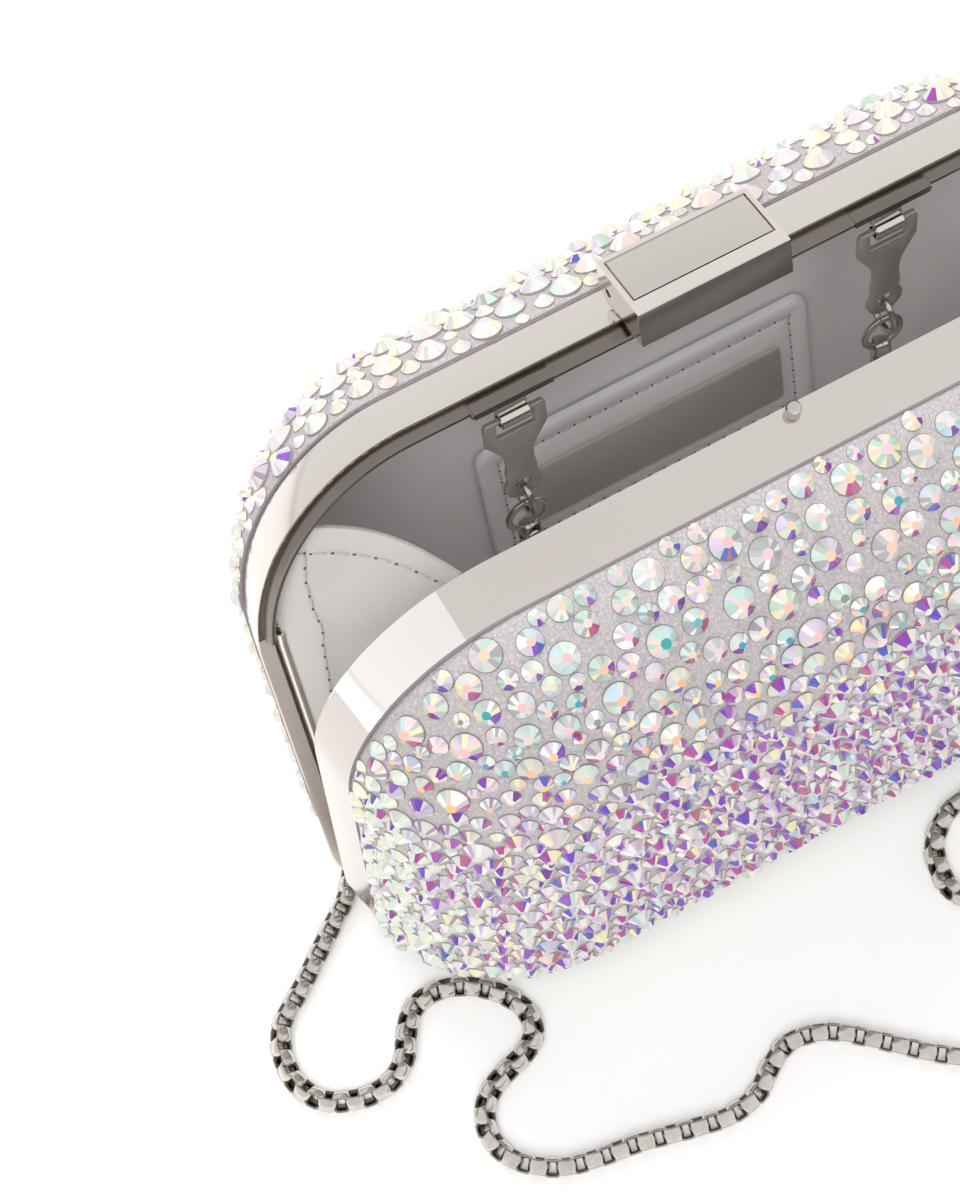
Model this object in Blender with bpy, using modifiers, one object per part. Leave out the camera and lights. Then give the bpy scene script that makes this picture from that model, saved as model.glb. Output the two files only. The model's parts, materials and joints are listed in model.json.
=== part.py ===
"""Crystal clutch: a hinged box bag, standing open, with its clasp, hooks and chains.

Metres, +Z up, standing on z = 0. X runs along the bag and the front faces -Y.
Each half is modelled as if the bag were closed, then its empty leans it open:
in a half's own space Z runs up from the hinge and Y away from the parting plane.
"""
import bmesh
import bpy
from math import atan2, cos, hypot, pi, radians, sin
from mathutils import Vector

# Overall shape of one half, measured to the metal frame
HALF_LENGTH = 0.0837
HEIGHT = 0.12097
OPEN_ANGLE = 6.316
TOP_CORNER_X = 0.0325
TOP_CORNER_Z = 0.0366
BOTTOM_CORNER = 0.0252
CORNER_POWER = 2.0
CORNER_STEPS = 5
GAP = 0.0003

# Frame band and its parting face
BAND_DEPTH = 0.0089
BAND_TAPER = 0.00159
BAND_WALL = 0.0008
LAND_WIDTH = 0.0029
LAND_THICKNESS = 0.0012
EDGE_BREAK = 0.0002
PARTING_GAP = 0.00015

# Tongue of the rear frame and the seat for it in the front frame
TONGUE_END = 0.0895
TONGUE_INSET = 0.0012
TONGUE_THICKNESS = 0.0010
TONGUE_PROUD = 0.0025
TONGUE_LOW_PROUD = 0.0017
SEAT_CLEAR = 0.0007

# Rounded pans and their layers, outside to inside
BELLY_DEPTH = 0.02505
BELLY_INSET = 0.0300
CRYSTAL_PROUD = 0.0018
COVER_THICKNESS = 0.0026
COVER_HEM = 0.0008
SHELL_THICKNESS = 0.0010
LINING_THICKNESS = 0.0010
SHELL_RIM_DEPTH = 0.0053
PAN_SHARES = (0.0, 0.16, 0.32, 0.5, 0.7, 1.0)
BELLY_POWER = 1.25
CORNER_SHRINK_SHARE = 0.6
LEAST_CORNER = 0.006

# Hinges at the foot of the frames
HINGE_CLEAR = 0.0055
HINGE_WIDTH = 0.016
KNUCKLE_RADIUS = 0.0012
PIN_RADIUS = 0.00045
LEAF_HEIGHT = 0.0018
LEAF_THICKNESS = 0.0006
KNUCKLE_SHARE = 0.34

# Gussets and the tubes that hold their edges
BEAD_RADIUS = 0.0011
BEAD_INSET = 0.0044
BEAD_DEPTH = 0.0015
BEAD_FOOT = 0.0100
BEAD_TOP = 0.0880
GUSSET_INSET = 0.0066
GUSSET_THICKNESS = 0.0010
GUSSET_FOOT = 0.0110
GUSSET_TOP = 0.1100
GUSSET_FOLD_X = 0.0515
GUSSET_FOLD_Z = 0.0955
GUSSET_ROWS = 7
GUSSET_FOLD_POWER = 1.3

# Leather patch and bare metal plate on the rear wall
PATCH_CENTER_X = 0.0010
PATCH_CENTER_Z = 0.0535
PATCH_LENGTH = 0.0662
PATCH_HEIGHT = 0.0310
PATCH_THICKNESS = 0.0017
PATCH_CORNER = 0.0030
PLATE_CENTER_X = 0.0018
PLATE_LENGTH = 0.0511
PLATE_HEIGHT = 0.0136
PLATE_THICKNESS = 0.0009

# Clasp: a hollow cap that turns on an axle over the rear band
CAP_HALF_WIDTH = 0.0134
CAP_FRONT = 0.0067
CAP_BACK = 0.0066
CAP_HEIGHT = 0.0073
CAP_LIP_DROP = 0.0001
CAP_SIDE_RISE = 0.00035
CAP_WALL = 0.0009
CAP_ROOF = 0.0008
CAP_BEVEL = 0.0006
CAP_LIP_SHARE = 0.75
TOP_PLATE_THICKNESS = 0.0006
TOP_PLATE_RIM = 0.0009
TOP_PLATE_FRONT_RIM = 0.0029
AXLE_Y = 0.0035
AXLE_RISE = 0.0029
AXLE_RADIUS = 0.0005
EAR_RADIUS = 0.0015
EAR_THICKNESS = 0.0010
BRACKET_HALF_WIDTH = 0.0112
BRACKET_PLATE = 0.0006
BRACKET_FRONT = 0.0012
BRACKET_BACK = 0.0069
SPRING_WIRE = 0.00025
SPRING_RADIUS = 0.0012
SPRING_LENGTH = 0.0080
SPRING_TURNS = 6
CATCH_HALF_WIDTH = 0.0022
CATCH_THICKNESS = 0.0009
CATCH_REACH = 0.0034
STUD_Y = 0.00175
STUD_RADIUS = 0.0013
STUD_NECK = 0.0006

# Chain hooks, the hangers that carry them and their rings
HOOK_X = 0.0339
HANGER_HALF_WIDTH = 0.0069
HANGER_TAB_HALF_WIDTH = 0.0026
HANGER_TAB = 0.0007
BAR_DROP = 0.0080
BAR_DEPTH = 0.0005
BAR_SIZE = 0.0009
ROLL_RADIUS = 0.0016
ROLL_BORE = 0.0010
HOOK_HALF_WIDTH = 0.0055
HOOK_WAIST = 0.0025
HOOK_LOBE = 0.0034
HOOK_LENGTH = 0.0230
HOOK_WINDOW_HALF_WIDTH = 0.0033
HOOK_WINDOW_HEIGHT = 0.0038
HOOK_HOLE = 0.0015
HOOK_CORNER_SHARE = 0.22
HOOK_SHOULDER_SHARE = 0.27
HOOK_SHOULDER_WIDTH_SHARE = 0.88
HOOK_NECK_SHARES = (0.38, 0.47, 0.58, 0.67)
HOOK_NECK_WIDTH_SHARES = (1.35, 1.02, 1.0, 1.12)
RECESS_EDGE = 0.00035
RECESS_DEPTH = 0.00045
RING_RADIUS = 0.00345
RING_WIRE = 0.00055

# Chains
CHAIN_DIAMETER = 0.0042
STRAP_STEPS = 78
INNER_STEPS = 30
END_CLASP_LENGTH = 0.0150
END_CLASP_WIDTH = 0.0070
END_CLASP_THICKNESS = 0.0022
END_CLASP_WALL = 0.0016


def taper_at(depth):
    """How far the band has drawn in at a depth from the parting plane."""
    return BAND_TAPER * depth / BAND_DEPTH


def outline(inset, shrink, top_z=HEIGHT):
    """Rounded outline of a half, drawn in by an inset, with its corners tightened."""
    side = HALF_LENGTH - inset
    top = top_z - inset
    corners = []
    for rx, rz, sx, sz in ((TOP_CORNER_X, TOP_CORNER_Z, 1, 1), (TOP_CORNER_X, TOP_CORNER_Z, -1, 1),
                           (BOTTOM_CORNER, BOTTOM_CORNER, -1, -1), (BOTTOM_CORNER, BOTTOM_CORNER, 1, -1)):
        rx = max(rx - shrink, LEAST_CORNER)
        rz = max(rz - shrink, LEAST_CORNER)
        arc = []
        for k in range(CORNER_STEPS + 1):
            a = pi / 2 * k / CORNER_STEPS
            px = side - rx + rx * cos(a) ** (2 / CORNER_POWER)
            rise = rz * sin(a) ** (2 / CORNER_POWER)
            pz = top - rz + rise if sz > 0 else inset + rz - rise
            arc.append((sx * px, pz))
        corners.append(arc if sx * sz > 0 else arc[::-1])
    return [p for arc in corners for p in arc]


def half_width(z, inset):
    """Half the width of the outline at a height, drawn in by an inset."""
    side = HALF_LENGTH - inset
    for radius_x, radius_z, reach in ((TOP_CORNER_X, TOP_CORNER_Z, z - (HEIGHT - TOP_CORNER_Z)),
                                      (BOTTOM_CORNER, BOTTOM_CORNER, BOTTOM_CORNER - z)):
        if reach > 0:
            share = min(reach / (radius_z - inset), 1)
            return side - (radius_x - inset) * (1 - (1 - share ** CORNER_POWER) ** (1 / CORNER_POWER))
    return side


def belly(share):
    """Inset, depth and outward slope of the pan's section, from the band to the flat back."""
    a = share * pi / 2
    inset = BAND_TAPER + BELLY_INSET * (1 - cos(a))
    depth = BAND_DEPTH + BELLY_DEPTH * sin(a) ** BELLY_POWER
    run_inset = BELLY_INSET * sin(a)
    run_depth = BELLY_DEPTH * BELLY_POWER * sin(a) ** (BELLY_POWER - 1) * cos(a)
    if share == 0:
        run_inset, run_depth = 0, 1
    size = hypot(run_inset, run_depth)
    return inset, depth, run_depth / size, run_inset / size


def pan_rings(layer, rim):
    """Rings of a layer of the pan, a distance inside the fabric's face."""
    rings = []
    if rim is not None:
        inset = taper_at(rim) + layer
        rings.append((outline(inset, inset), rim))
    for share in PAN_SHARES:
        base, depth, out, back = belly(share)
        inset = base + layer * out
        depth = depth - layer * back
        if share == 0 and rim is None:
            rings.append((outline(inset, CORNER_SHRINK_SHARE * base + layer * out), depth + GAP))
            depth = depth + GAP + COVER_HEM
        rings.append((outline(inset, CORNER_SHRINK_SHARE * base + layer * out), depth))
    return rings


parts = bpy.data.collections.new("crystal_clutch")
cutters = bpy.data.collections.new("cutters")
bpy.context.scene.collection.children.link(parts)
bpy.context.scene.collection.children.link(cutters)
for old in list(bpy.data.objects):
    bpy.data.objects.remove(old, do_unlink=True)


def material(name, color, roughness, metallic):
    mat = bpy.data.materials.new(name)
    mat.use_nodes = True
    shader = mat.node_tree.nodes["Principled BSDF"]
    shader.inputs["Base Color"].default_value = (*color, 1)
    shader.inputs["Roughness"].default_value = roughness
    shader.inputs["Metallic"].default_value = metallic
    mat.diffuse_color = (*color, 1)
    return mat


nickel = material("polished_nickel", (0.78, 0.75, 0.72), 0.18, 1.0)
satin = material("satin_nickel", (0.62, 0.60, 0.58), 0.35, 1.0)
steel = material("chain_steel", (0.55, 0.54, 0.53), 0.22, 1.0)
fabric = material("crystal_mesh", (0.72, 0.66, 0.74), 0.4, 0.0)
plastic = material("shell_plastic", (0.25, 0.25, 0.26), 0.5, 0.0)
leather = material("lining_leather", (0.60, 0.59, 0.59), 0.6, 0.0)


def empty(name, parent=None, location=(0, 0, 0), rotation=(0, 0, 0)):
    obj = bpy.data.objects.new(name, None)
    parts.objects.link(obj)
    obj.parent = parent
    obj.location = location
    obj.rotation_euler = rotation
    return obj


def adopt(obj, name, mat, parent, location=(0, 0, 0), rotation=(0, 0, 0)):
    """Name an object, give it its material and place it in its parent's space."""
    obj.name = name
    for col in list(obj.users_collection):
        col.objects.unlink(obj)
    target = parts if mat else cutters
    target.objects.link(obj)
    if mat:
        obj.data.materials.clear()
        obj.data.materials.append(mat)
    else:
        obj.hide_render = True
        obj.display_type = "WIRE"
    obj.parent = parent
    obj.location = location
    obj.rotation_euler = rotation
    return obj


def from_mesh(bm, name, mat, parent, **place):
    bmesh.ops.recalc_face_normals(bm, faces=bm.faces)
    mesh = bpy.data.meshes.new(name)
    bm.to_mesh(mesh)
    bm.free()
    return adopt(bpy.data.objects.new(name, mesh), name, mat, parent, **place)


def cylinder(name, radius, length, mat, parent, location, axis, sides=20):
    bm = bmesh.new()
    bmesh.ops.create_cone(bm, cap_ends=True, segments=sides, radius1=radius, radius2=radius, depth=length)
    turn = (0, pi / 2, 0) if axis == "X" else (pi / 2, 0, 0) if axis == "Y" else (0, 0, 0)
    return from_mesh(bm, name, mat, parent, location=location, rotation=turn)


def box(name, low, high, mat, parent):
    bm = bmesh.new()
    bmesh.ops.create_cube(bm, size=1)
    size = [b - a for a, b in zip(low, high)]
    bmesh.ops.scale(bm, vec=size, verts=bm.verts)
    center = [(a + b) / 2 for a, b in zip(low, high)]
    return from_mesh(bm, name, mat, parent, location=center)


def flat(name, loops, thickness, mat, parent, location=(0, 0, 0), rotation=(pi / 2, 0, 0)):
    """Flat piece cut to an outline, with holes, as a filled curve turned into a mesh."""
    curve = bpy.data.curves.new(name, "CURVE")
    curve.dimensions = "2D"
    curve.fill_mode = "BOTH"
    curve.extrude = thickness / 2
    for loop in loops:
        line = curve.splines.new("POLY")
        line.points.add(len(loop) - 1)
        line.use_cyclic_u = True
        for point, (x, y) in zip(line.points, loop):
            point.co = (x, y, 0, 1)
    guide = bpy.data.objects.new(name + "_outline", curve)
    cutters.objects.link(guide)
    bpy.context.view_layer.update()
    mesh = bpy.data.meshes.new_from_object(guide.evaluated_get(bpy.context.evaluated_depsgraph_get()))
    bpy.data.objects.remove(guide, do_unlink=True)
    bm = bmesh.new()
    bm.from_mesh(mesh)
    bmesh.ops.remove_doubles(bm, verts=bm.verts, dist=GAP / 100)
    return from_mesh(bm, name, mat, parent, location=location, rotation=rotation)


def tube(name, points, radius, mat, parent, resolution=2):
    """Round wire or tube along a line of points, with closed ends."""
    curve = bpy.data.curves.new(name, "CURVE")
    curve.dimensions = "3D"
    curve.bevel_depth = radius
    curve.bevel_resolution = resolution
    curve.use_fill_caps = True
    line = curve.splines.new("POLY")
    line.points.add(len(points) - 1)
    for point, co in zip(line.points, points):
        point.co = (*co, 1)
    return adopt(bpy.data.objects.new(name, curve), name, mat, parent)


def modify(obj, kind, **values):
    mod = obj.modifiers.new(kind.title(), kind)
    for key, value in values.items():
        setattr(mod, key, value)
    return mod


def cut(obj, *tools):
    for tool in tools:
        modify(obj, "BOOLEAN", operation="DIFFERENCE", solver="EXACT", object=tool)


def join(obj, *tools):
    for tool in tools:
        modify(obj, "BOOLEAN", operation="UNION", solver="EXACT", object=tool)


def skin(bm, rings, closed):
    """Walls of faces between neighbouring rings of points."""
    rows = [[bm.verts.new(p) for p in ring] for ring in rings]
    pairs = list(zip(rows, rows[1:])) + ([(rows[-1], rows[0])] if closed else [])
    for low, high in pairs:
        for k in range(len(low)):
            n = (k + 1) % len(low)
            bm.faces.new((low[k], low[n], high[n], high[k]))
    return rows


def frame_ring(name, section, side, parent):
    """Metal band: one closed section carried round the outline."""
    bm = bmesh.new()
    skin(bm, [[(x, side * depth, z) for x, z in outline(inset, inset)] for inset, depth in section], True)
    return from_mesh(bm, name, nickel, parent)


def pan(name, layer, thickness, rim, side, mat, parent):
    """One layer of a rounded pan: an open surface with a thickness."""
    bm = bmesh.new()
    rings = [[(x, side * depth, z) for x, z in loop] for loop, depth in pan_rings(layer, rim)]
    rows = skin(bm, rings, False)
    back = bm.faces.new(rows[-1])
    bmesh.ops.recalc_face_normals(bm, faces=bm.faces)
    back.normal_update()
    if back.normal.y * side < 0:
        bmesh.ops.reverse_faces(bm, faces=bm.faces)
    mesh = bpy.data.meshes.new(name)
    bm.to_mesh(mesh)
    bm.free()
    mesh.shade_smooth()
    obj = adopt(bpy.data.objects.new(name, mesh), name, mat, parent)
    modify(obj, "SOLIDIFY", thickness=thickness, offset=-1, use_even_offset=True)
    return obj


def slab(name, loop_a, depth_a, loop_b, depth_b, side, mat, parent):
    """Solid between two outlines that lie at two depths."""
    bm = bmesh.new()
    rows = skin(bm, [[(x, side * depth_a, z) for x, z in loop_a],
                     [(x, side * depth_b, z) for x, z in loop_b]], False)
    bm.faces.new(rows[0])
    bm.faces.new(rows[1])
    return from_mesh(bm, name, mat, parent)


def arch(inset, floor_z):
    """Upper run of the outline, from one side over the top to the other."""
    upper = [p for p in outline(inset, inset) if p[1] > floor_z]
    side = half_width(floor_z, inset)
    return [(side, floor_z)] + upper + [(-side, floor_z)]


def smooth_path(points, count):
    """Even points along a smooth curve through a route's own points."""
    route = [Vector(p) for p in points]
    fine = []
    for k in range(len(route) - 1):
        a = route[max(k - 1, 0)]
        b, c = route[k], route[k + 1]
        d = route[min(k + 2, len(route) - 1)]
        for step in range(12):
            t = step / 12
            fine.append(0.5 * (2 * b + (c - a) * t + (2 * a - 5 * b + 4 * c - d) * t * t
                               + (3 * b - a - 3 * c + d) * t ** 3))
    fine.append(route[-1])
    lengths = [0]
    for p, q in zip(fine, fine[1:]):
        lengths.append(lengths[-1] + (q - p).length)
    result = []
    spot = 0
    for k in range(count):
        want = lengths[-1] * k / (count - 1)
        while spot < len(fine) - 2 and lengths[spot + 1] < want:
            spot += 1
        t = (want - lengths[spot]) / (lengths[spot + 1] - lengths[spot])
        result.append(fine[spot].lerp(fine[spot + 1], t))
    return result, lengths[-1]


# The hinge axis stands just high enough for the lowest crystals to touch the floor
LEAN = radians(OPEN_ANGLE)
lowest = min((belly(k)[0] - CRYSTAL_PROUD * belly(k)[2]) * cos(LEAN)
             - (belly(k)[1] + CRYSTAL_PROUD * belly(k)[3]) * sin(LEAN) for k in PAN_SHARES)
HINGE_Z = -lowest
rear = empty("rear_half", location=(0, 0, HINGE_Z), rotation=(-LEAN, 0, 0))
front = empty("front_half", location=(0, 0, HINGE_Z), rotation=(LEAN, 0, 0))


def spot(half, x, depth, z):
    """World place of a point given in a half's closed space."""
    side = 1 if half == rear else -1
    turn = -LEAN if half == rear else LEAN
    y = side * depth
    return Vector((x, y * cos(turn) - z * sin(turn), HINGE_Z + y * sin(turn) + z * cos(turn)))


# Frame bands: a tapered wall with a flat parting face turned inward
section = [(EDGE_BREAK, PARTING_GAP), (LAND_WIDTH, PARTING_GAP), (LAND_WIDTH, PARTING_GAP + LAND_THICKNESS),
           (taper_at(LAND_THICKNESS) + BAND_WALL, PARTING_GAP + LAND_THICKNESS),
           (BAND_TAPER + BAND_WALL, BAND_DEPTH), (BAND_TAPER + EDGE_BREAK, BAND_DEPTH),
           (taper_at(BAND_DEPTH - EDGE_BREAK), BAND_DEPTH - EDGE_BREAK),
           (taper_at(PARTING_GAP + EDGE_BREAK), PARTING_GAP + EDGE_BREAK)]
rear_frame = frame_ring("rear_frame", section, 1, rear)
front_frame = frame_ring("front_frame", section, -1, front)

# Tongue on the rear frame, drawn in like the band, that slides inside the front frame
root_depth = PARTING_GAP + LAND_THICKNESS / 2
tip_inset = TONGUE_INSET + taper_at(TONGUE_PROUD)
tongue_root = arch(TONGUE_INSET, TONGUE_END) + arch(TONGUE_INSET + TONGUE_THICKNESS, TONGUE_END)[::-1]
tongue_tip = arch(tip_inset, TONGUE_END) + arch(tip_inset + TONGUE_THICKNESS, TONGUE_END)[::-1]
tongue = slab("tongue", tongue_root, root_depth, tongue_tip, -TONGUE_PROUD, 1, None, rear)
join(rear_frame, tongue)

# The front frame's parting face is cut away where the tongue goes in
seat_inset = BAND_WALL + GAP / 6
seat_depth = TONGUE_PROUD + SEAT_CLEAR
seat_end = TONGUE_END - GAP * 2
seat_front = arch(seat_inset, seat_end)
seat_back = arch(seat_inset + taper_at(seat_depth), seat_end)
seat = slab("tongue_seat", seat_front, -seat_depth, seat_back, seat_depth, -1, None, front)
cut(front_frame, seat)

# Beyond the hangers the tongue stands lower; shallow recesses in the rear land hold them
for sign in (-1, 1):
    near_x, far_x = sorted((sign * HOOK_X, sign * (HALF_LENGTH + GAP)))
    cut(rear_frame, box("tongue_trim", (near_x, -2 * TONGUE_PROUD, TONGUE_END - LAND_WIDTH),
                        (far_x, -TONGUE_LOW_PROUD, HEIGHT + LAND_WIDTH), None, rear))
    low_x = sign * HOOK_X - HANGER_HALF_WIDTH - GAP
    high_x = sign * HOOK_X + HANGER_HALF_WIDTH + GAP
    notch = box("hanger_notch", (low_x, -2 * TONGUE_PROUD, HEIGHT - 2 * LAND_WIDTH),
                (high_x, PARTING_GAP, HEIGHT + LAND_WIDTH), None, rear)
    recess = box("hanger_recess", (low_x, -PARTING_GAP, HEIGHT - TONGUE_INSET),
                 (high_x, PARTING_GAP + RECESS_DEPTH, HEIGHT - RECESS_EDGE), None, rear)
    cut(rear_frame, notch, recess)

# Pans: crystal cover, stiff shell and leather lining, nested with small gaps
shell_layer = COVER_THICKNESS - CRYSTAL_PROUD + GAP
lining_layer = shell_layer + SHELL_THICKNESS + GAP
lining_face = lining_layer + LINING_THICKNESS
for word, side, half in (("rear", 1, rear), ("front", -1, front)):
    pan(word + "_crystal_cover", -CRYSTAL_PROUD, COVER_THICKNESS, None, side, fabric, half)
    pan(word + "_shell", shell_layer, SHELL_THICKNESS, SHELL_RIM_DEPTH, side, plastic, half)
    pan(word + "_lining", lining_layer, LINING_THICKNESS, SHELL_RIM_DEPTH, side, leather, half)

# Hinges: three knuckles on one pin, a leaf behind each parting face
knuckle = HINGE_WIDTH * KNUCKLE_SHARE
middle = HINGE_WIDTH - 2 * knuckle
leaf_reach = SHELL_RIM_DEPTH - 2 * GAP
hinge_x = HALF_LENGTH - BOTTOM_CORNER - HINGE_WIDTH / 2 - HINGE_CLEAR
for word, sign in (("left", -1), ("right", 1)):
    x = sign * hinge_x
    for which, half, side in (("rear", rear, 1), ("front", front, -1)):
        profile = [(0, KNUCKLE_RADIUS / 2), (0, KNUCKLE_RADIUS - GAP / 3),
                   (LEAF_HEIGHT / 2, LEAF_HEIGHT + LEAF_THICKNESS), (leaf_reach, LEAF_HEIGHT + LEAF_THICKNESS),
                   (leaf_reach, LEAF_HEIGHT), (LEAF_HEIGHT / 2 + LEAF_THICKNESS, LEAF_HEIGHT),
                   (KNUCKLE_RADIUS / 2, KNUCKLE_RADIUS / 2)]
        leaf = flat("%s_hinge_%s_leaf" % (word, which), [[(side * d, z) for d, z in profile]], HINGE_WIDTH,
                    satin, half, location=(x, 0, 0), rotation=(pi / 2, 0, pi / 2))
        bore = cylinder("bore", PIN_RADIUS + GAP, 2 * HINGE_WIDTH, None, half, (x, 0, 0), "X")
        if which == "rear":
            barrels = [(x - (knuckle + middle) / 2, knuckle), (x + (knuckle + middle) / 2, knuckle)]
            reliefs = [(x, middle + GAP)]
        else:
            barrels = [(x, middle - GAP)]
            reliefs = [(x - (knuckle + middle) / 2 - GAP, knuckle + 3 * GAP),
                       (x + (knuckle + middle) / 2 + GAP, knuckle + 3 * GAP)]
        for center, width in reliefs:
            relief = cylinder("relief", KNUCKLE_RADIUS + GAP, width, None, half, (center, 0, 0), "X")
            cut(leaf, relief)
        for center, width in barrels:
            barrel = cylinder("barrel", KNUCKLE_RADIUS, width, None, half, (center, 0, 0), "X", 16)
            join(leaf, barrel)
        cut(leaf, bore)
        room = HINGE_WIDTH / 2 + 2 * GAP
        trench = cylinder("trench", KNUCKLE_RADIUS + GAP, 2 * room, None, half, (x, 0, 0), "X")
        lip = box("lip", (x - room, min(-side * GAP, side * (LAND_THICKNESS + 2 * GAP)), -LAND_WIDTH),
                  (x + room, max(-side * GAP, side * (LAND_THICKNESS + 2 * GAP)), LAND_WIDTH + 2 * GAP), None, half)
        cut(rear_frame if which == "rear" else front_frame, trench, lip)
    cylinder(word + "_hinge_pin", PIN_RADIUS, HINGE_WIDTH, steel, rear, (x, 0, 0), "X", 12)

# Tubes along the side rails that grip the gussets' edges
for word, side, half in (("rear", 1, rear), ("front", -1, front)):
    for name, sign in (("left", -1), ("right", 1)):
        line = []
        for k in range(10):
            z = BEAD_FOOT + (BEAD_TOP - BEAD_FOOT) * k / 9
            line.append((sign * half_width(z, BEAD_INSET), side * BEAD_DEPTH, z))
        tube("%s_%s_bead" % (name, word), line, BEAD_RADIUS, nickel, half, 1)

# Gussets: folded leather sheets between the side rails, the fold pushed inward
for name, sign in (("left", -1), ("right", 1)):
    bm = bmesh.new()
    rows = []
    for k in range(GUSSET_ROWS + 1):
        share = k / GUSSET_ROWS
        z = GUSSET_FOOT + (GUSSET_TOP - GUSSET_FOOT) * share
        edge = half_width(z, GUSSET_INSET)
        fold_z = HINGE_Z + GUSSET_FOOT + (GUSSET_FOLD_Z - GUSSET_FOOT) * share
        foot_x = half_width(GUSSET_FOOT, GUSSET_INSET) - GUSSET_THICKNESS
        fold_x = foot_x + (GUSSET_FOLD_X - foot_x) * share ** GUSSET_FOLD_POWER
        back = spot(rear, sign * edge, BEAD_DEPTH, z)
        fore = spot(front, sign * edge, BEAD_DEPTH, z)
        fold = Vector((sign * fold_x, 0, fold_z))
        rows.append([bm.verts.new(p) for p in (back, back.lerp(fold, 0.5), fold, fold.lerp(fore, 0.5), fore)])
    for low, high in zip(rows, rows[1:]):
        for k in range(4):
            bm.faces.new((low[k], low[k + 1], high[k + 1], high[k]))
    gusset = from_mesh(bm, name + "_gusset", leather, None)
    modify(gusset, "SOLIDIFY", thickness=GUSSET_THICKNESS, offset=0, use_even_offset=True)

# Leather patch and plate on the flat of the rear lining
wall = BAND_DEPTH + BELLY_DEPTH - lining_face


def rounded(length, height, radius, steps=4):
    loop = []
    for sx, sz, start in ((1, 1, 0), (-1, 1, 1), (-1, -1, 2), (1, -1, 3)):
        for k in range(steps + 1):
            a = pi / 2 * (start + k / steps)
            loop.append((sx * (length / 2 - radius) + radius * cos(a), sz * (height / 2 - radius) + radius * sin(a)))
    return loop


patch_y = wall - GAP - PATCH_THICKNESS / 2
plate_y = wall - 2 * GAP - PATCH_THICKNESS - PLATE_THICKNESS / 2
flat("rear_patch", [rounded(PATCH_LENGTH, PATCH_HEIGHT, PATCH_CORNER)], PATCH_THICKNESS, leather, rear,
     location=(PATCH_CENTER_X, patch_y, PATCH_CENTER_Z))
flat("inner_plate", [rounded(PLATE_LENGTH, PLATE_HEIGHT, PLATE_THICKNESS)], PLATE_THICKNESS, nickel, rear,
     location=(PLATE_CENTER_X, plate_y, PATCH_CENTER_Z))

# Clasp bracket on the rear band, with two ears for the axle
axle_z = HEIGHT + AXLE_RISE
slope = atan2(BAND_TAPER, BAND_DEPTH)
lift = GAP + BRACKET_PLATE / 2
middle_y = (BRACKET_FRONT + BRACKET_BACK) / 2
bm = bmesh.new()
bmesh.ops.create_cube(bm, size=1)
bmesh.ops.scale(bm, vec=(2 * BRACKET_HALF_WIDTH, BRACKET_BACK - BRACKET_FRONT, BRACKET_PLATE), verts=bm.verts)
bracket = from_mesh(bm, "clasp_bracket", satin, rear, rotation=(-slope, 0, 0),
                    location=(0, middle_y + lift * sin(slope), HEIGHT - taper_at(middle_y) + lift * cos(slope)))
ear_foot = HEIGHT - taper_at(AXLE_Y) + GAP + BRACKET_PLATE / 2
for sign in (-1, 1):
    ear_x = sign * (BRACKET_HALF_WIDTH - EAR_THICKNESS / 2)
    ear = [(AXLE_Y + EAR_RADIUS * cos(pi * k / 8), axle_z + EAR_RADIUS * sin(pi * k / 8)) for k in range(9)]
    ear += [(AXLE_Y - EAR_RADIUS, ear_foot), (AXLE_Y + EAR_RADIUS, ear_foot - taper_at(EAR_RADIUS))]
    join(bracket, flat("ear", [ear], EAR_THICKNESS, None, rear, location=(ear_x, 0, 0),
                       rotation=(pi / 2, 0, pi / 2)))
cut(bracket, cylinder("ear_bore", AXLE_RADIUS + GAP, 4 * CAP_HALF_WIDTH, None, rear, (0, AXLE_Y, axle_z), "X"))
cylinder("clasp_axle", AXLE_RADIUS, 2 * (CAP_HALF_WIDTH - GAP), steel, rear, (0, AXLE_Y, axle_z), "X", 12)

# Clasp cap, modelled about its axle so that it turns there
pivot = empty("clasp_pivot", rear, (0, AXLE_Y, axle_z))
low_arc = CAP_BACK - AXLE_Y
top = CAP_HEIGHT - AXLE_RISE
side_profile = [(-CAP_FRONT - AXLE_Y, -CAP_LIP_DROP - AXLE_RISE), (-CAP_FRONT - AXLE_Y, top), (low_arc, top)]
side_profile += [(low_arc * cos(pi / 2 * k / 6), -low_arc * sin(pi / 2 * k / 6)) for k in range(6)]
side_profile += [(-AXLE_Y + 2 * BRACKET_FRONT, -AXLE_RISE), (-AXLE_Y, CAP_SIDE_RISE - AXLE_RISE),
                 (-AXLE_Y - EAR_RADIUS / 3, CAP_SIDE_RISE - AXLE_RISE),
                 (-CAP_FRONT * CAP_LIP_SHARE - AXLE_Y, -CAP_LIP_DROP - AXLE_RISE)]
lever = flat("clasp_lever", [side_profile], 2 * CAP_HALF_WIDTH, nickel, pivot, rotation=(pi / 2, 0, pi / 2))
roof = top - TOP_PLATE_THICKNESS - GAP - CAP_ROOF
hollow = box("cap_hollow", (CAP_WALL - CAP_HALF_WIDTH, CAP_WALL - CAP_FRONT - AXLE_Y, -2 * CAP_HEIGHT),
             (CAP_HALF_WIDTH - CAP_WALL, 2 * CAP_BACK, roof), None, pivot)
rim_x = CAP_HALF_WIDTH - TOP_PLATE_RIM
well = box("cap_well", (-rim_x, TOP_PLATE_FRONT_RIM - CAP_FRONT - AXLE_Y, roof + CAP_ROOF),
           (rim_x, low_arc - TOP_PLATE_RIM, 2 * top), None, pivot)
modify(lever, "BEVEL", width=CAP_BEVEL, segments=2, angle_limit=radians(60), limit_method="ANGLE")
cut(lever, hollow, well, cylinder("cap_bore", AXLE_RADIUS + GAP, 4 * CAP_HALF_WIDTH, None, pivot, (0, 0, 0), "X"))
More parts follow.
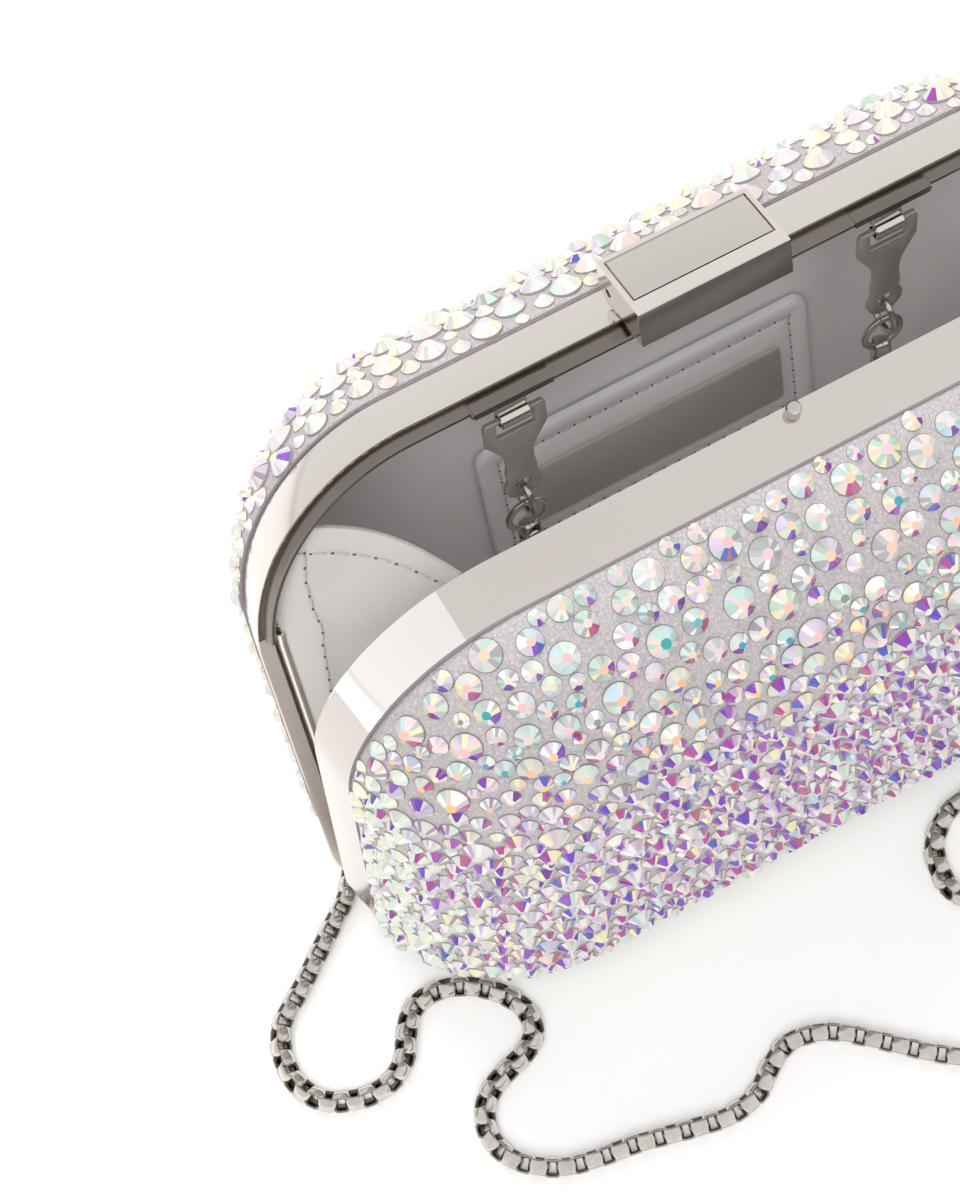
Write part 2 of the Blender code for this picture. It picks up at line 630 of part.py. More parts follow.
box("clasp_top_plate", (GAP - rim_x, TOP_PLATE_FRONT_RIM - CAP_FRONT - AXLE_Y + GAP, top - TOP_PLATE_THICKNESS),
    (rim_x - GAP, low_arc - TOP_PLATE_RIM - GAP, top), nickel, pivot)
catch_y = -AXLE_Y - STUD_Y - STUD_RADIUS - GAP
box("clasp_catch", (-CATCH_HALF_WIDTH, catch_y - CATCH_THICKNESS, roof - GAP - CATCH_REACH),
    (CATCH_HALF_WIDTH, catch_y, roof - GAP), steel, pivot)

# Return spring: coils round the axle with a leg to the cap's roof
coil = [(-SPRING_LENGTH / 2, AXLE_Y + SPRING_RADIUS, ear_foot + BRACKET_PLATE)]
for k in range(SPRING_TURNS * 8 + 1):
    a = 2 * pi * k / 8
    along = -SPRING_LENGTH / 2 + SPRING_LENGTH * k / (SPRING_TURNS * 8)
    coil.append((along, AXLE_Y + SPRING_RADIUS * cos(a), axle_z + SPRING_RADIUS * sin(a)))
coil.append((SPRING_LENGTH / 2, AXLE_Y + SPRING_RADIUS, axle_z + roof - GAP - SPRING_WIRE))
tube("clasp_spring", coil, SPRING_WIRE, steel, rear, 1)

# Sprung ball stud on the front band, turned about its own axis
ball_z = STUD_RADIUS
neck_z = ball_z - (STUD_RADIUS ** 2 - STUD_NECK ** 2) ** 0.5
stud_profile = [(0, ball_z + STUD_RADIUS)]
stud_profile += [(STUD_RADIUS * sin(pi * k / 8), ball_z + STUD_RADIUS * cos(pi * k / 8)) for k in range(1, 7)]
stud_profile += [(STUD_NECK, neck_z), (STUD_NECK, 0), (0, 0)]
mesh = bpy.data.meshes.new("ball_stud")
mesh.from_pydata([(r, 0, z) for r, z in stud_profile],
                 [(k, k + 1) for k in range(len(stud_profile) - 1)], [])
stud = adopt(bpy.data.objects.new("ball_stud", mesh), "ball_stud", nickel, front,
             location=(0, -STUD_Y, HEIGHT - taper_at(STUD_Y - STUD_NECK) + GAP))
modify(stud, "SCREW", steps=16, render_steps=16, merge_threshold=0.00001, use_merge_vertices=True)

# Hangers let into the tongue, hooks on them, and two rings on each hook
bar_z = HEIGHT - BAR_DROP
hole_z = HOOK_LOBE - HOOK_LENGTH
for name, sign in (("left", -1), ("right", 1)):
    x = sign * HOOK_X
    hanger = box(name + "_hanger", (x - HANGER_HALF_WIDTH, -TONGUE_PROUD, HEIGHT - tip_inset - TONGUE_THICKNESS),
                 (x + HANGER_HALF_WIDTH, PARTING_GAP - GAP, HEIGHT - tip_inset), satin, rear)
    tab = box("tab", (x - HANGER_TAB_HALF_WIDTH, -BAR_DEPTH - HANGER_TAB / 2, bar_z + (ROLL_BORE + ROLL_RADIUS) / 2),
              (x + HANGER_TAB_HALF_WIDTH, -BAR_DEPTH + HANGER_TAB / 2, HEIGHT - tip_inset - TONGUE_THICKNESS / 2),
              None, rear)
    roll = cylinder("roll", ROLL_RADIUS, 2 * HANGER_TAB_HALF_WIDTH, None, rear, (x, -BAR_DEPTH, bar_z), "X", 16)
    join(hanger, tab, roll)
    cut(hanger, cylinder("roll_bore", ROLL_BORE, 4 * HANGER_TAB_HALF_WIDTH, None, rear, (x, -BAR_DEPTH, bar_z), "X", 16))
    swing = empty(name + "_hook_pivot", None, spot(rear, x, -BAR_DEPTH, bar_z))
    head = BAR_SIZE / 2
    right = [(HOOK_HALF_WIDTH - head, head), (HOOK_HALF_WIDTH, -head), (HOOK_HALF_WIDTH, -HOOK_CORNER_SHARE * HOOK_LENGTH),
             (HOOK_HALF_WIDTH * HOOK_SHOULDER_WIDTH_SHARE, -HOOK_SHOULDER_SHARE * HOOK_LENGTH)]
    right += [(HOOK_WAIST * wide, -down * HOOK_LENGTH) for wide, down in zip(HOOK_NECK_WIDTH_SHARES, HOOK_NECK_SHARES)]
    right += [(HOOK_LOBE * cos(a), hole_z + HOOK_LOBE * sin(a)) for a in
              (radians(40), radians(15), radians(-10), radians(-35), radians(-60), radians(-80))]
    hook_loop = right + [(-px, pz) for px, pz in reversed(right)]
    window = [(-HOOK_WINDOW_HALF_WIDTH, -head), (HOOK_WINDOW_HALF_WIDTH, -head),
              (HOOK_WINDOW_HALF_WIDTH, -head - HOOK_WINDOW_HEIGHT), (-HOOK_WINDOW_HALF_WIDTH, -head - HOOK_WINDOW_HEIGHT)]
    hole = [(HOOK_HOLE * cos(2 * pi * k / 14), hole_z + HOOK_HOLE * sin(2 * pi * k / 14)) for k in range(14)]
    flat(name + "_hook", [hook_loop, window, hole], BAR_SIZE, satin, swing)
    upper_z = hole_z - HOOK_HOLE + RING_WIRE + GAP - RING_RADIUS
    lower_z = upper_z - RING_RADIUS + 2 * RING_WIRE + GAP - RING_RADIUS
    for word, ring_z, turn in (("upper", upper_z, (0, pi / 2, 0)), ("lower", lower_z, (pi / 2, 0, 0))):
        bpy.ops.mesh.primitive_torus_add(major_radius=RING_RADIUS, minor_radius=RING_WIRE,
                                         major_segments=18, minor_segments=7)
        ring = adopt(bpy.context.object, "%s_%s_ring" % (name, word), steel, swing, (0, 0, ring_z), turn)
        ring.data.shade_smooth()

# Inner chain: from one hook's lower ring down, along the floor of the bag and up again
drop = spot(rear, HOOK_X, -BAR_DEPTH, bar_z)
ring_foot = drop.z + lower_z - RING_RADIUS - RING_WIRE
hang_y = drop.y
chain_top = ring_foot - GAP
inner_half = [(-0.0339, hang_y, chain_top), (-0.0339, hang_y, 0.0600), (-0.0337, 0.0122, 0.0400), (-0.0325, 0.0122, 0.0240),
              (-0.0270, 0.0122, 0.0140), (-0.0180, 0.0124, 0.0106), (-0.0080, 0.0126, 0.0102)]
inner_route = inner_half + [(-px, py, pz) for px, py, pz in reversed(inner_half)]
inner_points, inner_length = smooth_path(inner_route, INNER_STEPS)
tube("inner_chain", inner_points, CHAIN_DIAMETER / 2, steel, None)

# Strap chain: lies round the bag, both ends behind it, in an order that starts behind the left
chain_z = CHAIN_DIAMETER / 2
strap_route = [(0.010, 0.056), (-0.012, 0.060), (-0.034, 0.055), (-0.054, 0.052), (-0.066, 0.043), (-0.0725, 0.031),
               (-0.0755, 0.020), (-0.0785, 0.0115), (-0.0824, 0.0057), (-0.0877, 0.0014), (-0.0972, -0.0060),
               (-0.1048, -0.0119), (-0.1072, -0.0202), (-0.1048, -0.0272), (-0.0990, -0.0306), (-0.0930, -0.0309),
               (-0.0885, -0.0283), (-0.0860, -0.0245), (-0.0828, -0.0208), (-0.0786, -0.0196), (-0.0743, -0.0205),
               (-0.0703, -0.0230), (-0.0668, -0.0271), (-0.0652, -0.0316), (-0.0663, -0.0358), (-0.0697, -0.0382),
               (-0.0742, -0.0396), (-0.0782, -0.0415), (-0.0810, -0.0448), (-0.0820, -0.0495), (-0.0800, -0.0548),
               (-0.0744, -0.0594), (-0.0676, -0.0614), (-0.0603, -0.0626), (-0.0501, -0.0652), (-0.0439, -0.0663),
               (-0.0381, -0.0653), (-0.0334, -0.0622), (-0.0286, -0.0600), (-0.0232, -0.0609), (-0.0187, -0.0637),
               (-0.0122, -0.0700), (-0.0071, -0.0749), (-0.0020, -0.0787), (0.0060, -0.0830), (0.0170, -0.0850),
               (0.0280, -0.0825), (0.0340, -0.0750), (0.0330, -0.0655), (0.0260, -0.0595), (0.0180, -0.0560),
               (0.0125, -0.0512), (0.0121, -0.0460), (0.0149, -0.0399), (0.0224, -0.0358), (0.0330, -0.0372),
               (0.0440, -0.0440), (0.0570, -0.0480), (0.0720, -0.0460), (0.0860, -0.0390), (0.0960, -0.0270),
               (0.0985, -0.0120), (0.0930, 0.0010), (0.0850, 0.0100), (0.0790, 0.0190), (0.0750, 0.0300),
               (0.0690, 0.0430), (0.0570, 0.0530), (0.0440, 0.0570)]
strap_points, strap_length = smooth_path([(px, py, chain_z) for px, py in strap_route], STRAP_STEPS)
tube("strap_chain", strap_points, chain_z, steel, None)

# A flat spring-gate clasp at each end of the strap
for word, end, before in (("first", strap_points[0], strap_points[1]), ("second", strap_points[-1], strap_points[-2])):
    heading = (end - before).normalized()
    outer = rounded(END_CLASP_LENGTH, END_CLASP_WIDTH, END_CLASP_WIDTH / 2 - GAP)
    inner = rounded(END_CLASP_LENGTH - 2 * END_CLASP_WALL, END_CLASP_WIDTH - 2 * END_CLASP_WALL,
                    END_CLASP_WIDTH / 2 - GAP - END_CLASP_WALL)
    place = end + heading * (END_CLASP_LENGTH / 2 + GAP)
    flat("%s_end_clasp" % word, [outer, inner], END_CLASP_THICKNESS, steel, None,
         location=(place.x, place.y, END_CLASP_THICKNESS / 2), rotation=(0, 0, atan2(heading.y, heading.x)))

bpy.context.view_layer.update()
print("hinge height", round(HINGE_Z, 6), "inner chain", round(inner_length, 4), "strap chain", round(strap_length, 4))
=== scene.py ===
"""Crystal box clutch, standing open on a pale floor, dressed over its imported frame.

The bag is two pans of crystal-set net in polished nickel bands, hinged at the foot.
Sections follow the object as it is put together, each with its own sizes and finish.
"""
import bmesh
import bpy
import json
import random
from bisect import bisect_left
from math import asin, atan2, cos, hypot, pi, radians, sin, sqrt
from mathutils import Matrix, Vector


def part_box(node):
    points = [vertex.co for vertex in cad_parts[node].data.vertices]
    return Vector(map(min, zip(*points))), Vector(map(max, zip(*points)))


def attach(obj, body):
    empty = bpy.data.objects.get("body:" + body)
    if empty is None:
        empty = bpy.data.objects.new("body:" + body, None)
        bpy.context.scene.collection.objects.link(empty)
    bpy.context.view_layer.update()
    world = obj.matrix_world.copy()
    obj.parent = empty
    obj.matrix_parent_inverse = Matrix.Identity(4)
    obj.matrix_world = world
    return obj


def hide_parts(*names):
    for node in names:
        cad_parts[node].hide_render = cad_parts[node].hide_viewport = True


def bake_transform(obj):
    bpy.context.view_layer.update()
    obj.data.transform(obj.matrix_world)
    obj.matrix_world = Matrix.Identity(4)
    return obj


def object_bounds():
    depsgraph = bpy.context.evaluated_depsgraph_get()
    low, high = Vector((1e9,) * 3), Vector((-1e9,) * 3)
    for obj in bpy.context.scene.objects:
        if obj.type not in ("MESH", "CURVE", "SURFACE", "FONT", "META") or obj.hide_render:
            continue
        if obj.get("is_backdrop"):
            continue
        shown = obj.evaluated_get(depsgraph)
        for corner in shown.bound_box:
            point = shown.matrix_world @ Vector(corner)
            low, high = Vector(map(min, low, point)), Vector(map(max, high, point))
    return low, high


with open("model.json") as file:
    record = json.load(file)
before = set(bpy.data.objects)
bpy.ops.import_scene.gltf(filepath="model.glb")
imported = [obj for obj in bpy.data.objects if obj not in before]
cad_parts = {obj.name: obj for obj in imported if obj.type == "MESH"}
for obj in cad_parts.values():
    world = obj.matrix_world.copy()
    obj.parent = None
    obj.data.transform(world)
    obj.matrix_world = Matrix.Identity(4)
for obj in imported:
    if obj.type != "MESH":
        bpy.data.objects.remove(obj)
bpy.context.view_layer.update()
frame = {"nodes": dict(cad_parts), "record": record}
scene = bpy.context.scene


# Camera: a long lens held high in front of the left end, looking down into the open bag.
# It is turned a little on its own axis, as in the photograph.
look_right = Vector((0.8751489, -0.47536528, -0.09023443))
look_up = Vector((0.45246925, 0.73795497, 0.50069356))
look_back = Vector((-0.17142339, -0.47900972, 0.86090866))
bpy.ops.object.camera_add()
camera = bpy.context.object
camera.matrix_world = Matrix((look_right, look_up, look_back)).transposed().to_4x4()
camera.location = (-0.129628, -0.225597, 0.492758)
camera.data.sensor_fit = "VERTICAL"
camera.data.sensor_height = 36
camera.data.lens = 88.779
camera.data.clip_start = 0.01
scene.camera = camera


# Chains: rounded box links, each a strip bent into a square ring and closed through its
# neighbours, plated in nickel, with painted shade on each link's inner wall. One link is shaped, then copied along.
LINK_PITCH = 0.0024
LINK_LONG = 0.00372
LINK_WIDE = 0.00345
LINK_STRIP = 0.0027
LINK_WALL = 0.0007


def linear(hex_color):
    """A linear colour with alpha from an sRGB hex value."""
    parts = [int(hex_color[k:k + 2], 16) / 255 for k in (1, 3, 5)]
    return tuple(c / 12.92 if c <= 0.04045 else ((c + 0.055) / 1.055) ** 2.4 for c in parts) + (1,)


def feed(node, inputs):
    """Set a node's inputs: a (node, output) pair is linked, anything else is a value."""
    for key, value in inputs.items():
        if isinstance(value, tuple) and isinstance(value[0], bpy.types.Node):
            node.id_data.links.new(value[0].outputs[value[1]], node.inputs[key])
        else:
            node.inputs[key].default_value = value


def add_node(tree, kind, inputs=None, **settings):
    """Add a shader node with its settings and its inputs, as values or links."""
    node = tree.nodes.new("ShaderNode" + kind)
    for key, value in settings.items():
        setattr(node, key, value)
    feed(node, inputs or {})
    return node


def new_material(name, base, roughness, metallic=0.0):
    """A principled material with its base colour, roughness and metallic set."""
    mat = bpy.data.materials.new(name)
    mat.use_nodes = True
    shader = mat.node_tree.nodes["Principled BSDF"]
    feed(shader, {"Base Color": linear(base), "Roughness": roughness, "Metallic": metallic})
    return mat, mat.node_tree, shader


# Sockets of a Mix node in colour mode, and hair scratches 3 mm long and 0.2 mm apart
MIX_A, MIX_B, MIX_OUT = 6, 7, 2
SCRATCHES = {"Scale": (350, 5200, 5200), "Rotation": (0, 0, 0.4)}
SCRATCH_DEPTH = 0.00002


def spaced(place, size_mm, **inputs):
    """A pattern's inputs, with its scale from a real size in millimetres."""
    return {"Vector": (place, "Object"), "Scale": 1000 / size_mm, **inputs}


def nickel_plate(name, light, dark, smooth, rough, mottle_mm, bump, metal=1.0):
    """Nickel plate over polished metal: a faint mottle in colour and gloss, and hair scratches."""
    mat, tree, shader = new_material(name, light, smooth, metal)
    place = add_node(tree, "TexCoord")
    mottle = add_node(tree, "TexNoise", spaced(place, mottle_mm, Detail=3.0))
    tone = add_node(tree, "Mix",
                    {"Factor": (mottle, "Fac"), MIX_A: linear(light), MIX_B: linear(dark)}, data_type="RGBA")
    stretch = add_node(tree, "Mapping", {"Vector": (place, "Object"), **SCRATCHES})
    hair = add_node(tree, "TexNoise", {"Vector": (stretch, "Vector"), "Scale": 1.0, "Detail": 2.0})
    gloss = add_node(tree, "MapRange", {"Value": (hair, "Fac"), "To Min": smooth, "To Max": rough})
    bumps = add_node(tree, "Bump", {"Height": (hair, "Fac"), "Strength": bump, "Distance": SCRATCH_DEPTH})
    feed(shader, {"Base Color": (tone, MIX_OUT), "Roughness": (gloss, "Result"), "Normal": (bumps, "Normal")})
    return mat


chain_plate = nickel_plate("bright_chain_plate", "#E0DAD5", "#BBB4AE", 0.1, 0.26, 2.5, 0.35)
# Painted shade: each link's inner wall is painted dark, fading out to the bright plate on its outside
link_plate = nickel_plate("shade_painted_link_plate", "#EAE4DF", "#BEB7B1", 0.1, 0.24, 2.0, 0.35)
link_tree = link_plate.node_tree
link_shader = link_tree.nodes["Principled BSDF"]
bright_tone = link_shader.inputs["Base Color"].links[0].from_node
unshaded_outside = add_node(link_tree, "Attribute", attribute_name="unshaded_outside")
link_tone = add_node(link_tree, "Mix", {"Factor": (unshaded_outside, "Fac"), MIX_A: linear("#5A544F"),
                                        MIX_B: (bright_tone, MIX_OUT)}, data_type="RGBA")
feed(link_shader, {"Base Color": (link_tone, MIX_OUT)})


bodies = {node: body for body, nodes in frame["record"]["behaviour"]["bodies"].items() for node in nodes}
# Up to these angles between faces, in degrees, a curve is shaded smooth
SOFT = 32
SOFTER = 50


def pick(obj):
    """Select one object alone and make it active."""
    bpy.ops.object.select_all(action="DESELECT")
    obj.select_set(True)
    bpy.context.view_layer.objects.active = obj


def finish_piece(obj, mat, node, smooth=None, rides=True):
    """Smooth a piece's curves, and give it its material and its node's body and place."""
    if smooth:
        pick(obj)
        bpy.ops.object.shade_smooth_by_angle(angle=radians(smooth))
    obj.data.materials.clear()
    obj.data.materials.append(mat)
    if rides:
        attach(obj, bodies[node])
    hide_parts(node)
    return obj


def even_route(points, spacing):
    """Places a spacing apart on a smooth curve through a route, with their headings."""
    fine = []
    for k in range(len(points) - 1):
        a = points[max(k - 1, 0)]
        b, c = points[k], points[k + 1]
        d = points[min(k + 2, len(points) - 1)]
        for step in range(24):
            t = step / 24
            fine.append(0.5 * (2 * b + (c - a) * t + (2 * a - 5 * b + 4 * c - d) * t * t
                               + (3 * b - a - 3 * c + d) * t ** 3))
    fine.append(points[-1])
    lengths = [0]
    for p, q in zip(fine, fine[1:]):
        lengths.append(lengths[-1] + (q - p).length)
    count = int(lengths[-1] / spacing)
    places = []
    at = 0
    for k in range(count + 1):
        want = lengths[-1] * k / count
        while at < len(fine) - 2 and lengths[at + 1] < want:
            at += 1
        t = (want - lengths[at]) / (lengths[at + 1] - lengths[at])
        places.append((fine[at].lerp(fine[at + 1], t), (fine[at + 1] - fine[at]).normalized()))
    return places, lengths[-1]


def squared(angle, power):
    """How far a rounded square reaches at an angle."""
    return (abs(cos(angle)) ** power + abs(sin(angle)) ** power) ** (-1 / power)


# How square a link and its bar are, how far it rocks, and where the painted shade on its inner wall fades out to its
# bright outside
LINK_SQUARE = 4.5
BAR_SQUARE = 3.2
LINK_PLAY = 0.06
SHADE_FADE_START = 0.7
SHADE_FADE_SPAN = 0.22


def model_link():
    """One link: a round bar bent square and flattened to a strip with soft corners."""
    bar = 0.25
    bpy.ops.mesh.primitive_torus_add(major_segments=12, minor_segments=8, major_radius=1, minor_radius=bar)
    link = bpy.context.object
    for vert in link.data.vertices:
        x, y, z = vert.co
        around = atan2(y, x)
        out = (hypot(x, y) - 1) / bar
        section = squared(atan2(z / bar, out), BAR_SQUARE)
        grow = squared(around, LINK_SQUARE)
        wall = out * section * LINK_WALL / 2
        vert.co = (cos(around) * grow * (LINK_LONG / 2 - LINK_WALL / 2 + wall),
                   sin(around) * grow * (LINK_WIDE / 2 - LINK_WALL / 2 + wall), z / bar * section * LINK_STRIP / 2)
    return link


def mesh_object(name, verts, faces):
    """A new object in the scene from corners and faces."""
    mesh = bpy.data.meshes.new(name)
    mesh.from_pydata(verts, [], faces)
    obj = bpy.data.objects.new(name, mesh)
    scene.collection.objects.link(obj)
    return obj


def lay_chain(name, route, turn_start):
    """Copy the link along a route, each a quarter turn on from the last."""
    places, length = even_route(route, LINK_PITCH)
    seed = model_link()
    verts, faces, unshaded = [], [], []
    side = places[0][1].orthogonal().normalized()
    rng = random.Random(31)
    for k, (place, heading) in enumerate(places):
        side = (side - heading * side.dot(heading)).normalized()
        up = heading.cross(side)
        turn = turn_start + (k % 2) * pi / 2 + rng.uniform(-LINK_PLAY, LINK_PLAY)
        across = side * cos(turn) + up * sin(turn)
        over = heading.cross(across)
        base = len(verts)
        for vert in seed.data.vertices:
            x, y, z = vert.co
            verts.append(place + heading * x + across * y + over * z)
            # Painted shade: 0 on the link's inner wall, rising to 1 on its outside
            reach = (abs(x / LINK_LONG * 2) ** LINK_SQUARE
                     + abs(y / LINK_WIDE * 2) ** LINK_SQUARE) ** (1 / LINK_SQUARE)
            unshaded.append(min(max((reach - SHADE_FADE_START) / SHADE_FADE_SPAN, 0), 1))
        faces += [[base + v for v in poly.vertices] for poly in seed.data.polygons]
    bpy.data.objects.remove(seed)
    chain = mesh_object(name, verts, faces)
    chain.data.attributes.new("unshaded_outside", "FLOAT", "POINT").data.foreach_set("value", unshaded)
    chain.data.shade_smooth()
    return chain, length, [p for p, heading in places]


CHAIN_Z = 0.0021
STRAP_ROUTE_MM = [(10, 56), (-12, 60), (-34, 55), (-54, 52), (-66, 43), (-72.5, 31), (-75.5, 20), (-78.5, 11.5),
                  (-82.4, 5.7), (-87.7, 1.4), (-97.2, -6), (-104.8, -11.9), (-107.2, -20.2), (-104.8, -27.2),
                  (-99, -30.6), (-93, -30.9), (-88.5, -28.3), (-86, -24.5), (-82.8, -20.8), (-78.6, -19.6),
                  (-74.3, -20.5), (-70.3, -23), (-66.8, -27.1), (-65.2, -31.6), (-66.3, -35.8), (-69.7, -38.2),
                  (-74.2, -39.6), (-78.2, -41.5), (-81, -44.8), (-82, -49.5), (-80, -54.8), (-74.4, -59.4),
                  (-67.6, -61.4), (-60.3, -62.6), (-50.1, -65.2), (-43.9, -66.3), (-38.1, -65.3), (-33.4, -62.2),
                  (-28.6, -60), (-23.2, -60.9), (-18.7, -63.7), (-12.2, -70), (-7.1, -74.9), (-2, -78.7), (6, -83),
                  (17, -85), (28, -82.5), (34, -75), (33, -65.5), (26, -59.5), (18, -56), (12.5, -51.2), (12.1, -46),
                  (14.9, -39.9), (22.4, -35.8), (33, -37.2), (44, -44), (57, -48), (72, -46), (86, -39), (96, -27),
                  (98.5, -12), (93, 1), (85, 10), (79, 19), (75, 30), (69, 43), (57, 53), (44, 57)]
strap_route = [Vector((x / 1000, y / 1000, CHAIN_Z)) for x, y in STRAP_ROUTE_MM]
strap, strap_length, strap_path = lay_chain("strap_links", strap_route, 0.25)
finish_piece(strap, link_plate, "strap_chain")


def apply_modifier(obj, kind, **values):
    """Add a modifier, set it and apply it."""
    pick(obj)
    mod = obj.modifiers.new(kind.title(), kind)
    for key, value in values.items():
        setattr(mod, key, value)
    bpy.ops.object.modifier_apply(modifier=mod.name)


def dressed_copy(node, mat, edge):
    """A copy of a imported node, merged, with its edges broken and its curves smoothed."""
    obj = frame["nodes"][node].copy()
    obj.data = obj.data.copy()
    for key in list(obj.keys()):
        del obj[key]
    obj.parent = None
    obj.name = node + "_dressed"
    scene.collection.objects.link(obj)
    pick(obj)
    bpy.ops.object.mode_set(mode="EDIT")
    bpy.ops.mesh.select_all(action="SELECT")
    bpy.ops.mesh.remove_doubles(threshold=0.000002)
    bpy.ops.mesh.dissolve_limited(angle_limit=radians(1))
    bpy.ops.object.mode_set(mode="OBJECT")
    if edge:
        apply_modifier(obj, "BEVEL", width=edge, segments=2, angle_limit=radians(35))
    return finish_piece(obj, mat, node, SOFT)


# A spring-gate clasp at each end of the strap, die-cast and plated like the links
end_clasps = [dressed_copy(node, chain_plate, 0.0004) for node in ("first_end_clasp", "second_end_clasp")]

INNER_HALF = [(-0.0339, 0.011931, 0.06), (-0.0337, 0.0122, 0.04), (-0.0325, 0.0122, 0.024),
              (-0.027, 0.0122, 0.014), (-0.018, 0.0124, 0.0106), (-0.008, 0.0126, 0.0102)]
INNER_HALF.insert(0, (-0.0339, 0.011931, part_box("left_lower_ring")[0][2] - 0.0003))
inner_route = [Vector(p) for p in INNER_HALF] + [Vector((-x, y, z)) for x, y, z in reversed(INNER_HALF)]
inner, inner_length, inner_path = lay_chain("inner_links", inner_route, 0.6)
finish_piece(inner, link_plate, "inner_chain")


# Frame bands: two half frames of cast and polished nickel-plated metal, drawn in
# towards the pans. A flat land faces the parting plane; the rear one carries a tongue.
HALF_LENGTH = 0.0837
HEIGHT = 0.12097
LEAN = radians(6.316)
HINGE_Z = 0.001188
TOP_CORNER_X = 0.0325
TOP_CORNER_Z = 0.0366
BOTTOM_CORNER = 0.0252
CORNER_STEPS = 22
BAND_DEPTH = 0.0089
BAND_TAPER = 0.00159
BAND_WALL = 0.0008
LAND_WIDTH = 0.0029
LAND_THICKNESS = 0.0012
PARTING_GAP = 0.00015
TONGUE_END = 0.0895
TONGUE_INSET = 0.0012
TONGUE_THICKNESS = 0.001
TONGUE_PROUD = 0.0025
TONGUE_LOW_PROUD = 0.0017
SEAT_DEPTH = 0.0032
HOOK_X = 0.0339
HANGER_HALF = 0.0069
TONGUE_STEP = HOOK_X + HANGER_HALF + 0.0003
HINGE_X = 0.045
HINGE_HALF = 0.0086
HINGE_LOW = -0.004
HINGE_HIGH = 0.0036
REAR = 1
FRONT = -1
HALVES = ((REAR, "rear"), (FRONT, "front"))
ENDS = ((-1, "left"), (1, "right"))
TIGHTEST = 0.006
# Where the front band's painted highlight and painted shade begin, outwards and upwards
PAINTED_LIGHT_X = 0.06
HIGHLIGHT_FROM_Z = 0.1035


def outline(inset, shrink):
    """Rounded outline of a half in its closed space, drawn in, corners tightened."""
    side = HALF_LENGTH - inset
    top = HEIGHT - inset
    loop = []
    for rx, rz, sx, sz in ((TOP_CORNER_X, TOP_CORNER_Z, 1, 1), (TOP_CORNER_X, TOP_CORNER_Z, -1, 1),
                           (BOTTOM_CORNER, BOTTOM_CORNER, -1, -1), (BOTTOM_CORNER, BOTTOM_CORNER, 1, -1)):
        rx, rz = max(rx - shrink, TIGHTEST), max(rz - shrink, TIGHTEST)
        arc = []
        for k in range(CORNER_STEPS + 1):
            a = pi / 2 * k / CORNER_STEPS
            rise = rz * sin(a)
            arc.append((sx * (side - rx + rx * cos(a)), top - rz + rise if sz > 0 else inset + rz - rise))
        loop += arc if sx * sz > 0 else arc[::-1]
    return loop


def taper_at(depth):
    return BAND_TAPER * depth / BAND_DEPTH


def leaned(side, x, depth, z):
    """World place of a point in a half's closed space."""
    turn = -LEAN * side
    y = side * depth
    return Vector((x, y * cos(turn) - z * sin(turn), HINGE_Z + y * sin(turn) + z * cos(turn)))


def draw_rings(name, rings, ends=0):
    """A circle laid on the first ring and extruded to each next one.

    The last ring joins the first, unless the last end (1) or both ends (2) are filled.
    """
    bpy.ops.mesh.primitive_circle_add(vertices=len(rings[0]))
    obj = bpy.context.object
    obj.name = name
    obj.data.name = name
    for vert, place in zip(obj.data.vertices, rings[0]):
        vert.co = place
    bpy.ops.object.mode_set(mode="EDIT")
    spots = list(rings[0])
    for ring in rings[1:] + ([] if ends else [rings[0]]):
        order = {tuple(round(c, 6) for c in p): q for p, q in zip(spots, ring)}
        bpy.ops.mesh.extrude_edges_move()
        shape = bmesh.from_edit_mesh(obj.data)
        for vert in shape.verts:
            if vert.select:
                vert.co = order[tuple(round(c, 6) for c in vert.co)]
        bmesh.update_edit_mesh(obj.data)
        spots = list(ring)
    if ends:
        bpy.ops.mesh.edge_face_add()
    bpy.ops.mesh.select_all(action="SELECT")
    bpy.ops.mesh.remove_doubles(threshold=0.0000005)
    if ends == 2:
        bpy.ops.mesh.select_all(action="DESELECT")
        bpy.ops.mesh.select_mode(type="EDGE")
        bpy.ops.mesh.select_non_manifold()
        bpy.ops.mesh.edge_face_add()
        bpy.ops.mesh.select_all(action="SELECT")
        bpy.ops.mesh.select_mode(type="VERT")
    bpy.ops.mesh.normals_make_consistent()
    bpy.ops.object.mode_set(mode="OBJECT")
    return obj


def band_rings(side, section):
    """Rings round a half, one for each inset and depth of a section."""
    return [[leaned(side, x, depth, z) for x, z in outline(inset, inset)] for inset, depth in section]


def add_box(name, low, high, side):
    """A block in a half's closed space, turned to where that half stands."""
    bpy.ops.mesh.primitive_cube_add(size=1)
    obj = bpy.context.object
    obj.name = name
    for vert in obj.data.vertices:
        x, y, z = [(a + b) / 2 + c * (b - a) for a, b, c in zip(low, high, vert.co)]
        vert.co = leaned(side, x, side * y, z)
    return obj


def cut_away(obj, tool):
    apply_modifier(obj, "BOOLEAN", operation="DIFFERENCE", solver="EXACT", object=tool)
    bpy.data.objects.remove(tool)


def cut_hinge_rooms(band, side, near, far):
    """Room for the hinges at a band's foot, between two depths."""
    low, high = sorted((side * near, side * far))
    for x in (-HINGE_X, HINGE_X):
        cut_away(band, add_box("hinge_room", (x - HINGE_HALF, low, HINGE_LOW),
                               (x + HINGE_HALF, high, HINGE_HIGH), side))


polished = nickel_plate("polished_nickel_plate", "#E3DDD8", "#DCD5D0", 0.09, 0.16, 30, 0.05)
# Painted shade: a darker copy of the polished nickel for the tongue and the hanger saddles, standing for the darker
# reflection on their faces
shaded = nickel_plate("painted_shade_nickel_plate", "#8D857F", "#7A736D", 0.18, 0.28, 14, 0.1)

